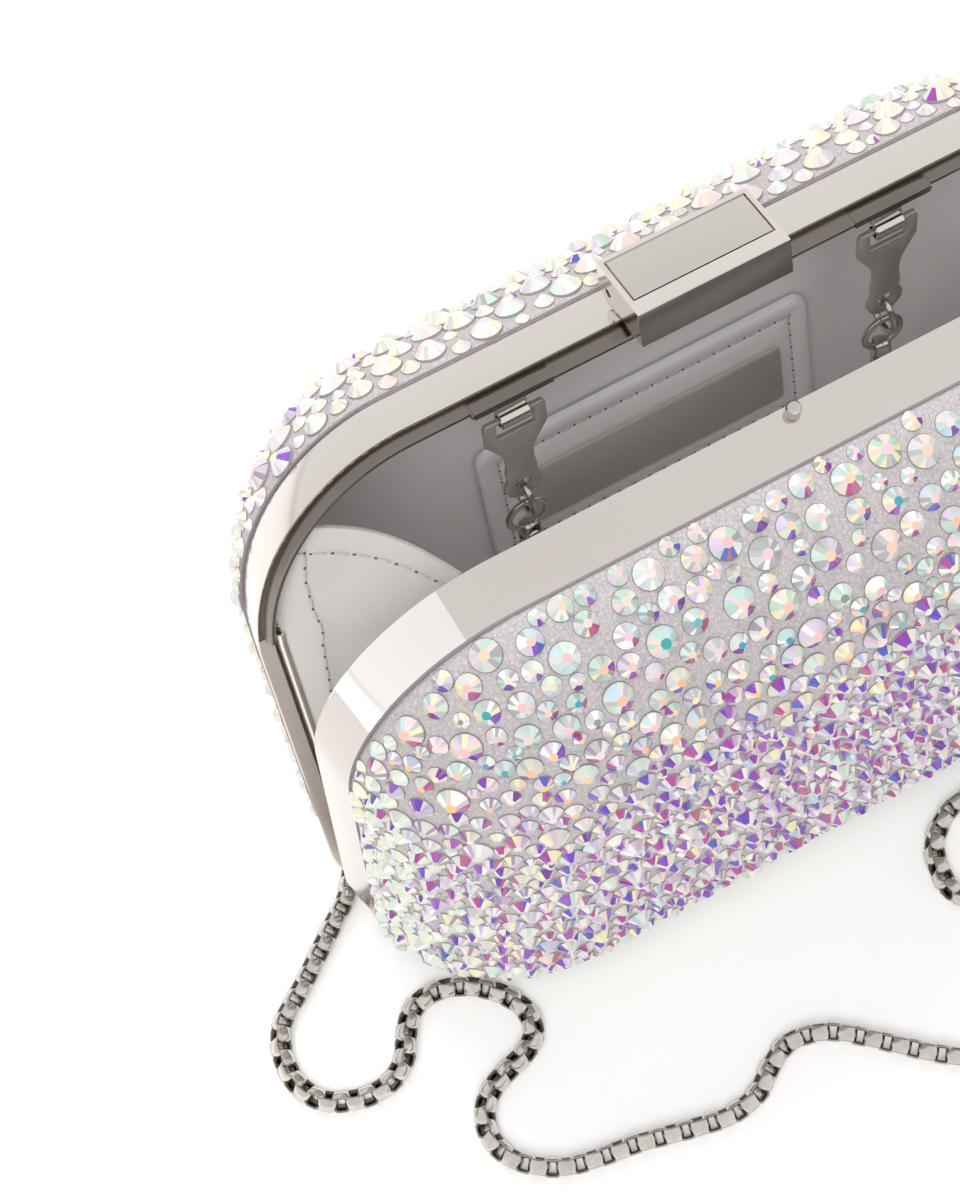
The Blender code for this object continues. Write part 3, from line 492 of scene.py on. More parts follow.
# Section from the land's inner lip over the parting edge, along the outside and back inside
EDGE = 0.00022
section = [(EDGE, PARTING_GAP), (LAND_WIDTH - EDGE, PARTING_GAP), (LAND_WIDTH, PARTING_GAP + EDGE),
           (LAND_WIDTH, PARTING_GAP + LAND_THICKNESS),
           (taper_at(LAND_THICKNESS) + BAND_WALL, PARTING_GAP + LAND_THICKNESS),
           (BAND_TAPER + BAND_WALL, BAND_DEPTH), (BAND_TAPER + EDGE, BAND_DEPTH),
           (BAND_TAPER + EDGE / 4, BAND_DEPTH - EDGE / 4), (taper_at(BAND_DEPTH - EDGE), BAND_DEPTH - EDGE),
           (taper_at(PARTING_GAP + EDGE), PARTING_GAP + EDGE), (EDGE / 4, PARTING_GAP + EDGE / 4)]
bands = {}
for side, word in HALVES:
    bands[word] = draw_rings(word + "_band", band_rings(side, section))
    cut_hinge_rooms(bands[word], side, -0.0004, PARTING_GAP + LAND_THICKNESS + 0.0006)


def half_width(z, inset):
    """Half the width of the outline at a height, drawn in by an inset."""
    side = HALF_LENGTH - inset
    for rx, rz, reach in ((TOP_CORNER_X, TOP_CORNER_Z, z - (HEIGHT - TOP_CORNER_Z)),
                          (BOTTOM_CORNER, BOTTOM_CORNER, BOTTOM_CORNER - z)):
        if reach > 0:
            share = min(reach / (rz - inset), 1)
            return side - (rx - inset) * (1 - sqrt(1 - share ** 2))
    return side


def arch(inset):
    """Upper run of the outline, with a pair of points at each hanger's outer end."""
    rx, rz = TOP_CORNER_X - inset, TOP_CORNER_Z - inset
    start = asin((TONGUE_END - HEIGHT + TOP_CORNER_Z) / rz)
    right = []
    for k in range(CORNER_STEPS + 1):
        a = start + (pi / 2 - start) * k / CORNER_STEPS
        right.append((HALF_LENGTH - TOP_CORNER_X + rx * cos(a), HEIGHT - TOP_CORNER_Z + rz * sin(a)))
    right += [(TONGUE_STEP + 0.0001, HEIGHT - inset), (TONGUE_STEP, HEIGHT - inset)]
    return right + [(-x, z) for x, z in reversed(right)]


# The tongue is a bent strip: its lip lies on the rear land, and its leg stands forward to slide
# inside the front band. Beyond the hangers the leg is lower.
LIP_EDGE = 0.0003
LIP_BACK = PARTING_GAP + 0.0003
LIP_FACE = PARTING_GAP - 0.0001
LEG_EDGE = 0.00025
LEG_SLOPE = 0.0002
tip = TONGUE_INSET + taper_at(TONGUE_PROUD)
tongue_rings = []
for inset, depth in ((LIP_EDGE, LIP_BACK), (LIP_EDGE, LIP_FACE), (TONGUE_INSET, LIP_FACE),
                     (tip - 0.00005, LEG_SLOPE - TONGUE_PROUD), (tip + LEG_EDGE, -TONGUE_PROUD),
                     (tip + TONGUE_THICKNESS - LEG_EDGE, -TONGUE_PROUD),
                     (tip + TONGUE_THICKNESS, LEG_SLOPE - TONGUE_PROUD), (TONGUE_INSET + TONGUE_THICKNESS, LIP_BACK)):
    rise = TONGUE_PROUD - TONGUE_LOW_PROUD if depth < 0 else 0
    tongue_rings.append([leaned(REAR, x, depth + (rise if abs(x) > TONGUE_STEP + 0.00005 else 0), z)
                         for x, z in arch(inset)])
tongue = draw_rings("rear_tongue", [list(column) for column in zip(*tongue_rings)], ends=2)
# The front land is cut away where the tongue goes in
SEAT_INSET = BAND_WALL + 0.00005
seat_rings = [[leaned(FRONT, x, depth, z) for x, z in arch(inset)]
              for inset, depth in ((SEAT_INSET - taper_at(SEAT_DEPTH), -SEAT_DEPTH),
                                   (SEAT_INSET + taper_at(SEAT_DEPTH), SEAT_DEPTH))]
cut_away(bands["front"], draw_rings("tongue_seat", seat_rings, ends=2))
for word, band in bands.items():
    finish_piece(band, polished, word + "_frame", SOFT)
finish_piece(tongue, shaded, "rear_frame", SOFT)
# The front band's top corners get a painted highlight, a brighter copy of the nickel up to a crisp line;
# its rails below them get painted shade, a darker copy
front = bands["front"].data
front.materials.append(nickel_plate("painted_highlight_corner_nickel", "#FFFDFC", "#FAF6F3", 0.08, 0.13, 30, 0.05))
front.materials.append(nickel_plate("painted_shade_rail_nickel", "#D0C9C4", "#C8C1BC", 0.1, 0.18, 30, 0.05))
for face in front.polygons:
    if abs(face.center.x) > PAINTED_LIGHT_X:
        face.material_index = 1 if face.center.z > HIGHLIGHT_FROM_Z else 2
# The rear land shows as a duller face below the tongue's ends
face_far, face_near = PARTING_GAP + 0.0002, PARTING_GAP - 0.00005
land = draw_rings("rear_land_face", band_rings(REAR, (
    (LIP_EDGE, face_far), (LIP_EDGE, face_near),
    (LAND_WIDTH - LIP_EDGE / 2, face_near), (LAND_WIDTH - LIP_EDGE / 2, face_far))))
cut_hinge_rooms(land, REAR, -0.0006, 0.0019)
land_metal = nickel_plate("drawn_land_nickel", "#E4DCD4", "#D4CAC1", 0.24, 0.36, 4, 0.4, 0.6)
finish_piece(land, land_metal, "rear_frame", SOFT)


# Pans: a moulded shell covered in fine net that is set all over with flat-back stones.
# The net is glued over the shell and tucked in behind the band.
BELLY_DEPTH = 0.02505
BELLY_INSET = 0.03
PAN_SHARES = [k / 16 for k in range(17)]
FLAT_INSETS = (0.037, 0.043, 0.049)


def belly(share):
    """Inset, depth and outward slope of the pan's section, from the band to its flat back."""
    a = share * pi / 2
    run_inset = BELLY_INSET * sin(a)
    run_depth = BELLY_DEPTH * 1.25 * max(sin(a), 0) ** 0.25 * cos(a)
    if share == 0:
        run_inset, run_depth = 0, 1
    size = hypot(run_inset, run_depth)
    return (BAND_TAPER + BELLY_INSET * (1 - cos(a)), BAND_DEPTH + BELLY_DEPTH * sin(a) ** 1.25,
            run_depth / size, run_inset / size)


def pan_rings(layer, side, rim=None):
    """Rings of a layer of the pan, a distance inside the net's face."""
    rings = band_rings(side, [(taper_at(rim) + layer, rim)]) if rim else []
    for share in PAN_SHARES:
        base, depth, out, back = belly(share)
        loop = outline(base + layer * out, 0.6 * base + layer * out)
        rings.append([leaned(side, x, depth - layer * back, z) for x, z in loop])
    for inset in FLAT_INSETS:
        loop = outline(inset, 0.6 * inset)
        rings.append([leaned(side, x, BAND_DEPTH + BELLY_DEPTH - layer, z) for x, z in loop])
    return rings


SKIN = 0.0007


def lay_skin(name, layer, side, rim, mat, node):
    """A layer of the pan with its faces outwards, given its thickness and finished."""
    skin = draw_rings(name, pan_rings(layer, side, rim), ends=1)
    if sum(p.normal.y * side for p in skin.data.polygons) < 0:
        skin.data.flip_normals()
    apply_modifier(skin, "SOLIDIFY", thickness=SKIN, offset=-1)
    skin.data.shade_smooth()
    finish_piece(skin, mat, node)


def grained(name, base, roughness, grain_mm, strength, depth):
    """A material with a fine raised grain; the grain's noise comes back with it."""
    mat, tree, shader = new_material(name, base, roughness)
    place = add_node(tree, "TexCoord")
    grain = add_node(tree, "TexNoise", spaced(place, grain_mm, Detail=2.0))
    bump = add_node(tree, "Bump", {"Height": (grain, "Fac"), "Strength": strength, "Distance": depth})
    feed(shader, {"Normal": (bump, "Normal")})
    return mat, shader, place, grain


# The net's honeycomb has cells of about 0.9 mm; the knit under it has rows 0.45 mm apart
net, net_shader, net_place, knit = grained("crystal_net", "#C6BFC1", 0.72, 0.45, 0.5, 0.0001)
net_tree = net.node_tree
cells = add_node(net_tree, "TexVoronoi", spaced(net_place, 0.9), feature="DISTANCE_TO_EDGE")
holes = add_node(net_tree, "MapRange", {"Value": (cells, "Distance"), "From Max": 0.09})
knit_tone = add_node(net_tree, "Mix",
                     {"Factor": (knit, "Fac"), MIX_A: linear("#989093"), MIX_B: linear("#DAD5D5")}, data_type="RGBA")
net_tone = add_node(net_tree, "Mix", {"Factor": (holes, "Result"), MIX_A: linear("#A59EA0"),
                                      MIX_B: (knit_tone, MIX_OUT)}, data_type="RGBA")
feed(net_shader, {"Base Color": (net_tone, MIX_OUT), "Sheen Weight": 0.25})
for side, word in HALVES:
    lay_skin(word + "_net", 0, side, None, net, word + "_crystal_cover")


# Stones: cut flat-back crystals of 2.2 to 5.2 mm, glued by hand face out, spaced where the
# pan rolls over to its top and packed close below. Their facets carry painted reflections of the
# coating, pale green, pink and gold, and each has one small fan of violet, magenta or blue facets;
# both are picked by which way the stone faces, with darker tints as painted shade.
# Each row is a size, the room round it and how many are thrown
TOP_SIZES = ((0.0051, 0.00034, 460), (0.0041, 0.00024, 4200), (0.0033, 0.00018, 30000), (0.0027, 0.00018, 34000))
REAR_TOP_SIZES = ((0.0052, 0.00012, 1600), (0.0042, 0.0001, 9000), (0.0032, 0.00008, 34000),
                  (0.0025, 0.00008, 30000))
PACKED_SIZES = ((0.005, 0.00015, 60), (0.004, 0.00005, 900), (0.0033, -0.0001, 34000),
                (0.0027, -0.00012, 60000), (0.0022, -0.0001, 40000))
TOP_FACING = 0.5
STONE_RISE = 0.35
TABLE_SHARE = 0.36
TABLE_SIDES = 8
GIRDLE_SIDES = 16
LEAST_ROOM = 0.0003
GRID_CELL = 0.0058
NO_FAN = 2
# Painted shadow: the girdle colour is dark, standing for the thin shadow line round each stone
GIRDLE_SHADOW = "#8F888B"
# Facet palettes: painted reflections of the coating, picked by which way a stone faces; the darker ones stand for
# painted shade
PALE = "#E6E6E2 #C8DBCF #E2CDC8 #E7E0B2 #BBD2DA #D2C2D8 #CFCFCB #B3CEBF #F0EFEC #B2B6B6 #A2A6A6".split()
LILAC = "#DAD5DA #C2B5CE #D9CCBC #CCB6C3 #B2BBCF #E2DFDB #978D9C #C5D0C4 #BCA4BF".split()
SIDE_PALE = "#DAE4D4 #E6E3C4 #CDDDD3 #EAEAE5 #CFDBE0 #DEE2CC #C8CCC8".split()
RIM_PALE = "#E9E4DE #E6D9C6 #E6D0CC #D2E0D6 #D9D0E2 #EAE5C6 #C9C8C6 #F0EFED".split()
DEEP = "#7A30B0 #6436B4 #96309C #AE3E7E #4A58B4 #8652BA #6A2C92 #9E52B4 #B0607E #A84490".split()
WARM_TABLES = "#F0C9C3 #EBBAB5 #F1D2CA #EEC3C5 #EBB4AF #F0CCBC #E5BEC7 #F0C5A8 #8C8882".split()
TEAL_TABLES = "#2F9CA0 #3796AE #EBBBB2 #62ABA8 #EFB79C".split()
GOLD_TABLES = "#F0BC78 #EFC48C #EBB288 #F3DCB6 #EFD0CC".split()
crystal, crystal_tree, crystal_shader = new_material("coated_crystal", "#F4F2EE", 0.09)
facet_color = add_node(crystal_tree, "Attribute", attribute_name="facet")
feed(crystal_shader, {"Base Color": (facet_color, "Color"), "IOR": 1.56, "Coat Weight": 0.6, "Coat Roughness": 0.03})


def stone_colors(rng, normal):
    """A stone's table colour, its few pale tints, and which way and how wide its dark fan is, picked by which way the
    stone faces: painted reflection of the coating, with darker tints as painted shade where it faces down or aside.
    """
    stray = rng.gauss(0, 0.11)
    up, out = normal.z + stray, abs(normal.x) + stray
    if normal.y > 0 and (up > TOP_FACING or out > 0.62):
        look = RIM_PALE, RIM_PALE, 5, (1.8, 4.4), 0.92, 0.05
    elif out > 0.74 or up < -0.38:
        look = SIDE_PALE, SIDE_PALE, 4, (1.8, 4.4), 0.92, 0.3
    elif up > 0.6:
        look = WARM_TABLES, PALE, 5, (-0.7, 0.7), 0.88, 0.7
    elif up > TOP_FACING - 0.06:
        look = TEAL_TABLES, PALE, 5, (-1.0, 1.0), 0.88, 0.75
    elif up > 0.2:
        look = GOLD_TABLES, PALE + LILAC, 5, (-3.1, 3.1), 0.86, 0.85
    else:
        look = LILAC, LILAC + PALE[:4], 5, (1.7, 4.6), 0.84, 0.85
    tables, tints, count, turns, fan_edge, share = look
    return (rng.choice(tables), rng.sample(tints, count), rng.uniform(*turns),
            fan_edge if rng.random() < share else NO_FAN)


def pan_triangles(rings, side):
    """Triangles over a pan's rings and middle, with each corner's place and facing."""
    spots = []
    for k, ring in enumerate(rings):
        before, after = rings[max(k - 1, 0)], rings[min(k + 1, len(rings) - 1)]
        spots.append([(place, (ring[(j + 1) % len(ring)] - ring[j - 1]).cross(after[j] - before[j]).normalized())
                      for j, place in enumerate(ring)])
    if spots[-1][0][1].y * side < 0:
        spots = [[(place, -facing) for place, facing in row] for row in spots]
    middle = (sum(rings[-1], Vector()) / len(rings[-1]), spots[-1][0][1])
    tris = []
    for low, high in zip(spots, spots[1:] + [[middle] * len(rings[-1])]):
        for j in range(len(low)):
            a, b, c, d = low[j - 1], low[j], high[j], high[j - 1]
            tris += [(a, b, c), (a, c, d)]
    return tris


def throw_stones(side):
    """Throw stones at the net, largest first, and keep each that has room."""
    rng = random.Random(53 if side == REAR else 29)
    tris = pan_triangles(pan_rings(0, side), side)
    sums = []
    total = 0
    for a, b, c in tris:
        total += (b[0] - a[0]).cross(c[0] - a[0]).length / 2
        sums.append(total)
    grid = {}
    stones = []
    top_sizes = REAR_TOP_SIZES if side == REAR else TOP_SIZES
    throws = [row + (zone,) for zone, rows in ((1, top_sizes), (-1, PACKED_SIZES)) for row in rows]
    for size, clearance, tries, zone in throws:
        for number in range(tries):
            corners = tris[bisect_left(sums, rng.random() * total)]
            a, b = rng.random(), rng.random()
            if a + b > 1:
                a, b = 1 - a, 1 - b
            place, normal = [corners[0][k] * (1 - a - b) + corners[1][k] * a + corners[2][k] * b for k in (0, 1)]
            normal = normal.normalized()
            # The spaced zone ends in a wavy line where the pan turns to its face
            if (normal.z - TOP_FACING - 0.05 * sin(place.x * 90)) * zone < 0:
                continue
            depth = (place.y * cos(LEAN) - side * (place.z - HINGE_Z) * sin(LEAN)) * side
            if depth < BAND_DEPTH + size / 2 + LEAST_ROOM:
                continue
            key = tuple(int(c // GRID_CELL) for c in place)
            near = [s for dx in (-1, 0, 1) for dy in (-1, 0, 1) for dz in (-1, 0, 1)
                    for s in grid.get((key[0] + dx, key[1] + dy, key[2] + dz), ())]
            if any((place - other[0]).length < (size + other[2]) / 2 + clearance for other in near):
                continue
            stone = (place, normal, size * rng.uniform(0.96, 1.03))
            grid.setdefault(key, []).append(stone)
            stones.append(stone)
    return rng, stones


def set_stones(word, side):
    """Cut the stones: a table of eight sides, a crown of facets and a girdle, in one mesh."""
    rng, stones = throw_stones(side)
    verts, faces, colors = [], [], []
    for place, normal, size in stones:
        radius = size / 2
        rise = size * STONE_RISE
        spin = rng.random() * pi
        across = normal.orthogonal().normalized()
        across = across * cos(spin) + normal.cross(across) * sin(spin)
        over = normal.cross(across)
        table_hex, tints, fan_turn, fan_edge = stone_colors(rng, normal)
        # Painted reflection: the dark fan is turned from one fixed direction down and back, the same for every stone
        down = Vector((0.35, 0.6 * side, -1))
        down = (down - normal * down.dot(normal)).normalized()
        fan = down * cos(fan_turn) + normal.cross(down) * sin(fan_turn)
        fan_hexes = rng.sample(DEEP, 2)
        table = len(verts)
        girdle = table + TABLE_SIDES
        foot = girdle + GIRDLE_SIDES
        for count, turn, reach, high in ((TABLE_SIDES, 0, TABLE_SHARE, 1.0), (GIRDLE_SIDES, 0.5, 1.0, 0.16),
                                         (GIRDLE_SIDES, 0.5, 1.06, -0.03)):
            for k in range(count):
                a = 2 * pi * (k + turn) / count
                verts.append(place + (across * cos(a) + over * sin(a)) * radius * reach + normal * rise * high)
        own = [list(range(table, girdle))]
        for k in range(TABLE_SIDES):
            own.append([table + k, girdle + 2 * k, girdle + 2 * k + 1, table + (k + 1) % TABLE_SIDES])
            own.append([table + k, girdle + (2 * k - 1) % GIRDLE_SIDES, girdle + 2 * k])
        crown = len(own)
        for k in range(GIRDLE_SIDES):
            after = (k + 1) % GIRDLE_SIDES
            own.append([girdle + k, foot + k, foot + after, girdle + after])
        for number, face in enumerate(own):
            a, b, c = (verts[face[k]] for k in (0, 1, 2))
            facing = (b - a).cross(c - a).normalized()
            lean_out = (facing - normal * normal.dot(facing)).normalized()
            if number == 0:
                hex_color = table_hex
            # The girdle's faces take the painted shadow colour
            elif number >= crown:
                hex_color = GIRDLE_SHADOW
            else:
                hex_color = rng.choice(fan_hexes if lean_out.dot(fan) > fan_edge else tints)
            colors += linear(hex_color) * len(face)
        faces += own
    obj = mesh_object(word + "_stones", verts, faces)
    obj.data.color_attributes.new("facet", "FLOAT_COLOR", "CORNER").data.foreach_set("color", colors)
    return obj


# The net's edge is turned over a fine cord where it tucks in behind the band
HEM_WIDE = 0.0003
HEM_DEEP = 0.00026
hem_mat = grained("net_hem", "#8B8487", 0.85, 0.7, 0.8, 0.0002)[0]
hem_section = [(BAND_TAPER + 0.00005 + HEM_WIDE * cos(a), BAND_DEPTH + HEM_DEEP + HEM_DEEP * sin(a))
               for a in (2 * pi * k / 7 for k in range(7))]
for side, word in HALVES:
    hem = draw_rings(word + "_net_hem", band_rings(side, hem_section))
    hem.data.shade_smooth()
    finish_piece(hem, hem_mat, word + "_crystal_cover")
for side, word in HALVES:
    finish_piece(set_stones(word, side), crystal, word + "_crystal_cover")


# Linings: smooth pale grey leather, drummed over card and glued inside the shells.
LINING_LAYER = 0.0024
LINING_RIM = 0.0053
CLOUD_MM, FOLD_MM, PORE_MM = 18, 7, 0.5


def leather_skin(name, light, dark, depth):
    """Corrected calf leather: soft clouds of tone, shallow folds and fine pores."""
    mat, tree, shader = new_material(name, light, 0.52)
    place = add_node(tree, "TexCoord")
    clouds = add_node(tree, "TexNoise", spaced(place, CLOUD_MM, Detail=4.0))
    tone = add_node(tree, "Mix",
                    {"Factor": (clouds, "Fac"), MIX_A: linear(light), MIX_B: linear(dark)}, data_type="RGBA")
    pores = add_node(tree, "TexVoronoi", spaced(place, PORE_MM), feature="DISTANCE_TO_EDGE")
    grain = add_node(tree, "MapRange", {"Value": (pores, "Distance"), "From Max": 0.3})
    folds = add_node(tree, "TexNoise", spaced(place, FOLD_MM, Detail=3.0, Distortion=1.2))
    soft = add_node(tree, "Bump", {"Height": (folds, "Fac"), "Strength": 0.5, "Distance": 0.0004})
    bumps = add_node(tree, "Bump", {"Height": (grain, "Result"), "Normal": (soft, "Normal"),
                                    "Strength": 0.35, "Distance": depth})
    feed(shader, {"Base Color": (tone, MIX_OUT), "Normal": (bumps, "Normal"), "Sheen Weight": 0.15})
    return mat


# Painted light: the lining leather is written near white, paler than its own grey, to make up for the shade inside
# the open bag; the patch shares it
leather = leather_skin("lightened_lining_calf", "#F6F4F3", "#EDEAE9", 0.00005)
soft_leather = leather_skin("gusset_calf", "#D9D6D3", "#CFCCC9", 0.00006)
for side, word in HALVES:
    lay_skin(word + "_lining_skin", LINING_LAYER, side, LINING_RIM, leather, word + "_lining")


# Stitching: pale waxed thread in short even stitches, each pulled into a needle hole drawn as a small dark mark of
# painted shade.
STITCH_PITCH = 0.0031
STITCH_LONG = 0.0021
THREAD = 0.00046
HOLE_HALF = (0.00034, 0.00024, 0.0001)
thread_mat = new_material("waxed_thread", "#C9C4C1", 0.6)[0]
# Painted shade: the needle holes are small dark marks
hole_mat = new_material("painted_hole_shade", "#6B6462", 0.9)[0]


def sew(name, routes):
    """Stitches and holes along lines of (place, normal) pairs, copied from one stretched bead."""
    bpy.ops.mesh.primitive_uv_sphere_add(segments=8, ring_count=5, radius=1)
    bead = bpy.context.object
    verts, faces, marks = [], [], []
    for route in routes:
        places = even_route([place for place, normal in route], STITCH_PITCH)[0]
        for k, (place, heading) in enumerate(places):
            normal = route[min(int(k / len(places) * len(route)), len(route) - 1)][1]
            across = heading.cross(normal).normalized()
            normal = across.cross(heading).normalized()
            for mark, shift, (long, wide, high) in ((0, 0, (STITCH_LONG / 2, THREAD / 2, THREAD / 2)),
                                                    (1, STITCH_PITCH / 2, HOLE_HALF)):
                base = len(verts)
                center = place + heading * shift + normal * (THREAD * 0.1)
                verts += [center + heading * v.co.x * long + across * v.co.y * wide + normal * v.co.z * high
                          for v in bead.data.vertices]
                faces += [[base + v for v in poly.vertices] for poly in bead.data.polygons]
                marks += [mark] * len(bead.data.polygons)
    bpy.data.objects.remove(bead)
    obj = mesh_object(name, verts, faces)
    obj.data.shade_smooth()
    obj.data.materials.append(thread_mat)
    obj.data.materials.append(hole_mat)
    obj.data.polygons.foreach_set("material_index", marks)
    return obj


# Rear patch: a padded leather panel sewn to the lining, with a bare metal plate on it.
PATCH_X = 0.001
PATCH_Z = 0.0535
PATCH_HALF_LENGTH = 0.0331
PATCH_HALF_HEIGHT = 0.0155
PATCH_FACE = 0.0286
PATCH_BACK = 0.0302
PATCH_SEAM = 0.00375
SEAM_SUNK = 0.0004


def rounded_loop(half_x, half_z, radius):
    """A rounded rectangle about the patch's middle."""
    loop = []
    for sx, sz, start in ((1, 1, 0), (-1, 1, 1), (-1, -1, 2), (1, -1, 3)):
        for k in range(7):
            a = pi / 2 * (start + k / 6)
            loop.append((sx * (half_x - radius) + radius * cos(a), sz * (half_z - radius) + radius * sin(a)))
    return loop


# Rings of the patch: edge, crown of the border, groove of the seam, then the padded middle
rings = []
for inset, sunk in ((0, PATCH_BACK - PATCH_FACE), (0, 0.0006), (0.00018, 0.00022), (0.0006, 0), (0.0019, 0.00003),
                    (0.003, 0.0002), (0.0035, 0.00048), (0.004, 0.00048), (0.0046, 0.0002), (0.006, 0.0001)):
    radius = max(0.003 - inset, 0.0007)
    rings.append([leaned(REAR, PATCH_X + x, PATCH_FACE + sunk, PATCH_Z + z)
                  for x, z in rounded_loop(PATCH_HALF_LENGTH - inset, PATCH_HALF_HEIGHT - inset, radius)])
patch = draw_rings("padded_patch", rings, ends=1)
finish_piece(patch, leather, "rear_patch", SOFTER)
half_x, half_z = PATCH_HALF_LENGTH - PATCH_SEAM, PATCH_HALF_HEIGHT - PATCH_SEAM
corners = [(-half_x, -half_z), (-half_x, half_z), (half_x, half_z), (half_x, -half_z), (-half_x, -half_z)]
inward = Vector((0, -cos(LEAN), sin(LEAN)))
seam = [[(leaned(REAR, PATCH_X + ax + (bx - ax) * t, PATCH_FACE + SEAM_SUNK, PATCH_Z + az + (bz - az) * t), inward)
         for t in (0.02, 0.34, 0.66, 0.98)] for (ax, az), (bx, bz) in zip(corners, corners[1:])]
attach(sew("patch_stitches", seam), "rear_half")
plate_metal = nickel_plate("brushed_plate", "#DAD4CE", "#CDC6C0", 0.26, 0.38, 12, 0.2, 0.5)
dressed_copy("inner_plate", plate_metal, 0.00025)


# Gussets: soft folded leather ends, hemmed along the top and creased near the rails.
GUSSET_INSET = 0.0046
GUSSET_TUCK = 0.0026
GUSSET_FOOT = 0.011
GUSSET_TOP = 0.11
GUSSET_FOLD_X = 0.0515
GUSSET_FOLD_Z = 0.097
GUSSET_ROWS = 24
GUSSET_COLUMNS = 40
BEAD_DEPTH = 0.0015
STITCH_LIFT = 0.00058
HEM_SEAM = 0.0042
SEAM_STEPS = 16
# How far the sewn crease runs from the rail, at shares up the gusset's height
CREASE_LINE = ((0.0, 0.002), (0.4, 0.0024), (0.6, 0.0052), (0.8, 0.007), (0.86, 0.0072), (0.95, 0.004),
               (1.0, 0.0022))


def crease_at(share):
    """The crease's distance from the rail at a share of the height."""
    for (low, near), (high, far) in zip(CREASE_LINE, CREASE_LINE[1:]):
        if share <= high:
            return near + (far - near) * (share - low) / (high - low)
    return CREASE_LINE[-1][1]


def gusset_point(sign, share, across):
    """A gusset's point: share up its height, across from -1 at the front rail to 1 at the rear."""
    z = GUSSET_FOOT + (GUSSET_TOP - GUSSET_FOOT) * share
    tucked = min(max((z - TONGUE_END) / 0.006, 0), 1)
    edge = half_width(z, GUSSET_INSET + (GUSSET_TUCK - GUSSET_INSET) * tucked)
    fold_z = HINGE_Z + GUSSET_FOOT + (GUSSET_FOLD_Z - GUSSET_FOOT) * share
    foot_x = half_width(GUSSET_FOOT, GUSSET_INSET) - 0.002
    fold_x = foot_x + (GUSSET_FOLD_X - foot_x) * share ** 1.3
    rail = leaned(REAR if across > 0 else FRONT, sign * edge, BEAD_DEPTH + 0.0005 * tucked, z)
    fold = Vector((sign * fold_x, 0, fold_z))
    point = fold.lerp(rail, abs(across))
    outward = Vector((sign * 0.5, -0.85 if across > 0 else 0.85, 0)).normalized()
    swell = sin(pi * min(abs(across) * 1.15, 1)) * 0.0016 * share
    dip = max(0, 1 - abs((1 - abs(across)) * (rail - fold).length - crease_at(share)) / 0.0022) * 0.0004
    droop = 0.0018 * share * sin(pi * abs(across))
    return point - outward * (swell - dip) + Vector((0, 0, droop))


def gusset_normal(sign, share, across, toward):
    """The leather's own facing at a point, on the side that a vector points to."""
    along = gusset_point(sign, share, across + 0.02) - gusset_point(sign, share, across - 0.02)
    rise = gusset_point(sign, share, across) - gusset_point(sign, share - 0.02, across)
    facing = along.cross(rise).normalized()
    return facing if facing.dot(toward) > 0 else -facing


for sign, word in ENDS:
    bpy.ops.mesh.primitive_grid_add(x_subdivisions=GUSSET_COLUMNS, y_subdivisions=GUSSET_ROWS, size=1)
    gusset = bpy.context.object
    gusset.name = word + "_gusset_leather"
    for vert in gusset.data.vertices:
        share = round((vert.co.y + 0.5) * GUSSET_ROWS) / GUSSET_ROWS
        across = 1 - 2 * round((vert.co.x + 0.5) * GUSSET_COLUMNS) / GUSSET_COLUMNS
        vert.co = gusset_point(sign, share, across)
    apply_modifier(gusset, "SOLIDIFY", thickness=0.0009, offset=0)
    apply_modifier(gusset, "BEVEL", width=0.0003, segments=2, angle_limit=radians(60))
    gusset.data.shade_smooth()
    finish_piece(gusset, soft_leather, word + "_gusset", rides=False)
    # Each half of a gusset is stitched along its hemmed top and its crease, seen on both faces
    lines = []
    hem_share = 1 - HEM_SEAM / (GUSSET_TOP - GUSSET_FOOT)
    for part in (1, -1):
        hem_spots = [(hem_share, part * (0.06 + 0.84 * j / SEAM_STEPS)) for j in range(SEAM_STEPS + 1)]
        crease_spots = []
        for k in range(SEAM_STEPS + 1):
            share = 0.3 + 0.65 * k / SEAM_STEPS
            full = (gusset_point(sign, share, 0) - gusset_point(sign, share, part)).length
            crease_spots.append((share, part * (1 - crease_at(share) / full)))
        facing = Vector((-sign * 0.5, -0.85 * part, 0.2)).normalized()
        for toward in (facing, -facing):
            for spots in (hem_spots, crease_spots):
                outs = [gusset_normal(sign, share, across, toward) for share, across in spots]
                lines.append([(gusset_point(sign, share, across) + out * STITCH_LIFT, out)
                              for (share, across), out in zip(spots, outs)])
    stitches = sew(word + "_gusset_stitches", lines)
    for piece in (gusset, stitches):
        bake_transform(piece)


# Bead tubes: drawn nickel-plated tube, slit and squeezed over the gussets' edges.
BEAD_RADIUS = 0.0011
BEAD_FOOT = 0.01
BEAD_LONG = 0.078
BEAD_SIDES = 18
# Rings up the tube, then over its rolled top and into its mouth
bead_rings = [(BEAD_FOOT + BEAD_LONG * k / 26, BEAD_RADIUS) for k in range(27)]
bead_rings += [(0.0881, 0.0009), (0.0878, 0.00065), (0.085, 0.0006)]
for side, word in HALVES:
    for sign, name in ENDS:
        rings = []
        for z, radius in bead_rings:
            x = sign * half_width(z, 0.0044)
            rings.append([leaned(side, x + radius * cos(2 * pi * k / BEAD_SIDES),
                                 BEAD_DEPTH + radius * sin(2 * pi * k / BEAD_SIDES), z) for k in range(BEAD_SIDES)])
        bead = draw_rings("%s_%s_bead_tube" % (name, word), rings, ends=1)
        finish_piece(bead, polished, "%s_%s_bead" % (name, word), SOFTER)


# Clasp: a die-cast cap that lifts on its axle, with an inset top plate left bare,
# a steel catch and bracket below, and the sprung ball stud that it snaps over.
SMALL_EDGE = 0.00008
STUD_DEPTH = 0.00175
cap_metal = nickel_plate("cast_cap_nickel", "#F1EBE6", "#E6DFD9", 0.12, 0.2, 16, 0.06)
cap = dressed_copy("clasp_lever", cap_metal, 0)
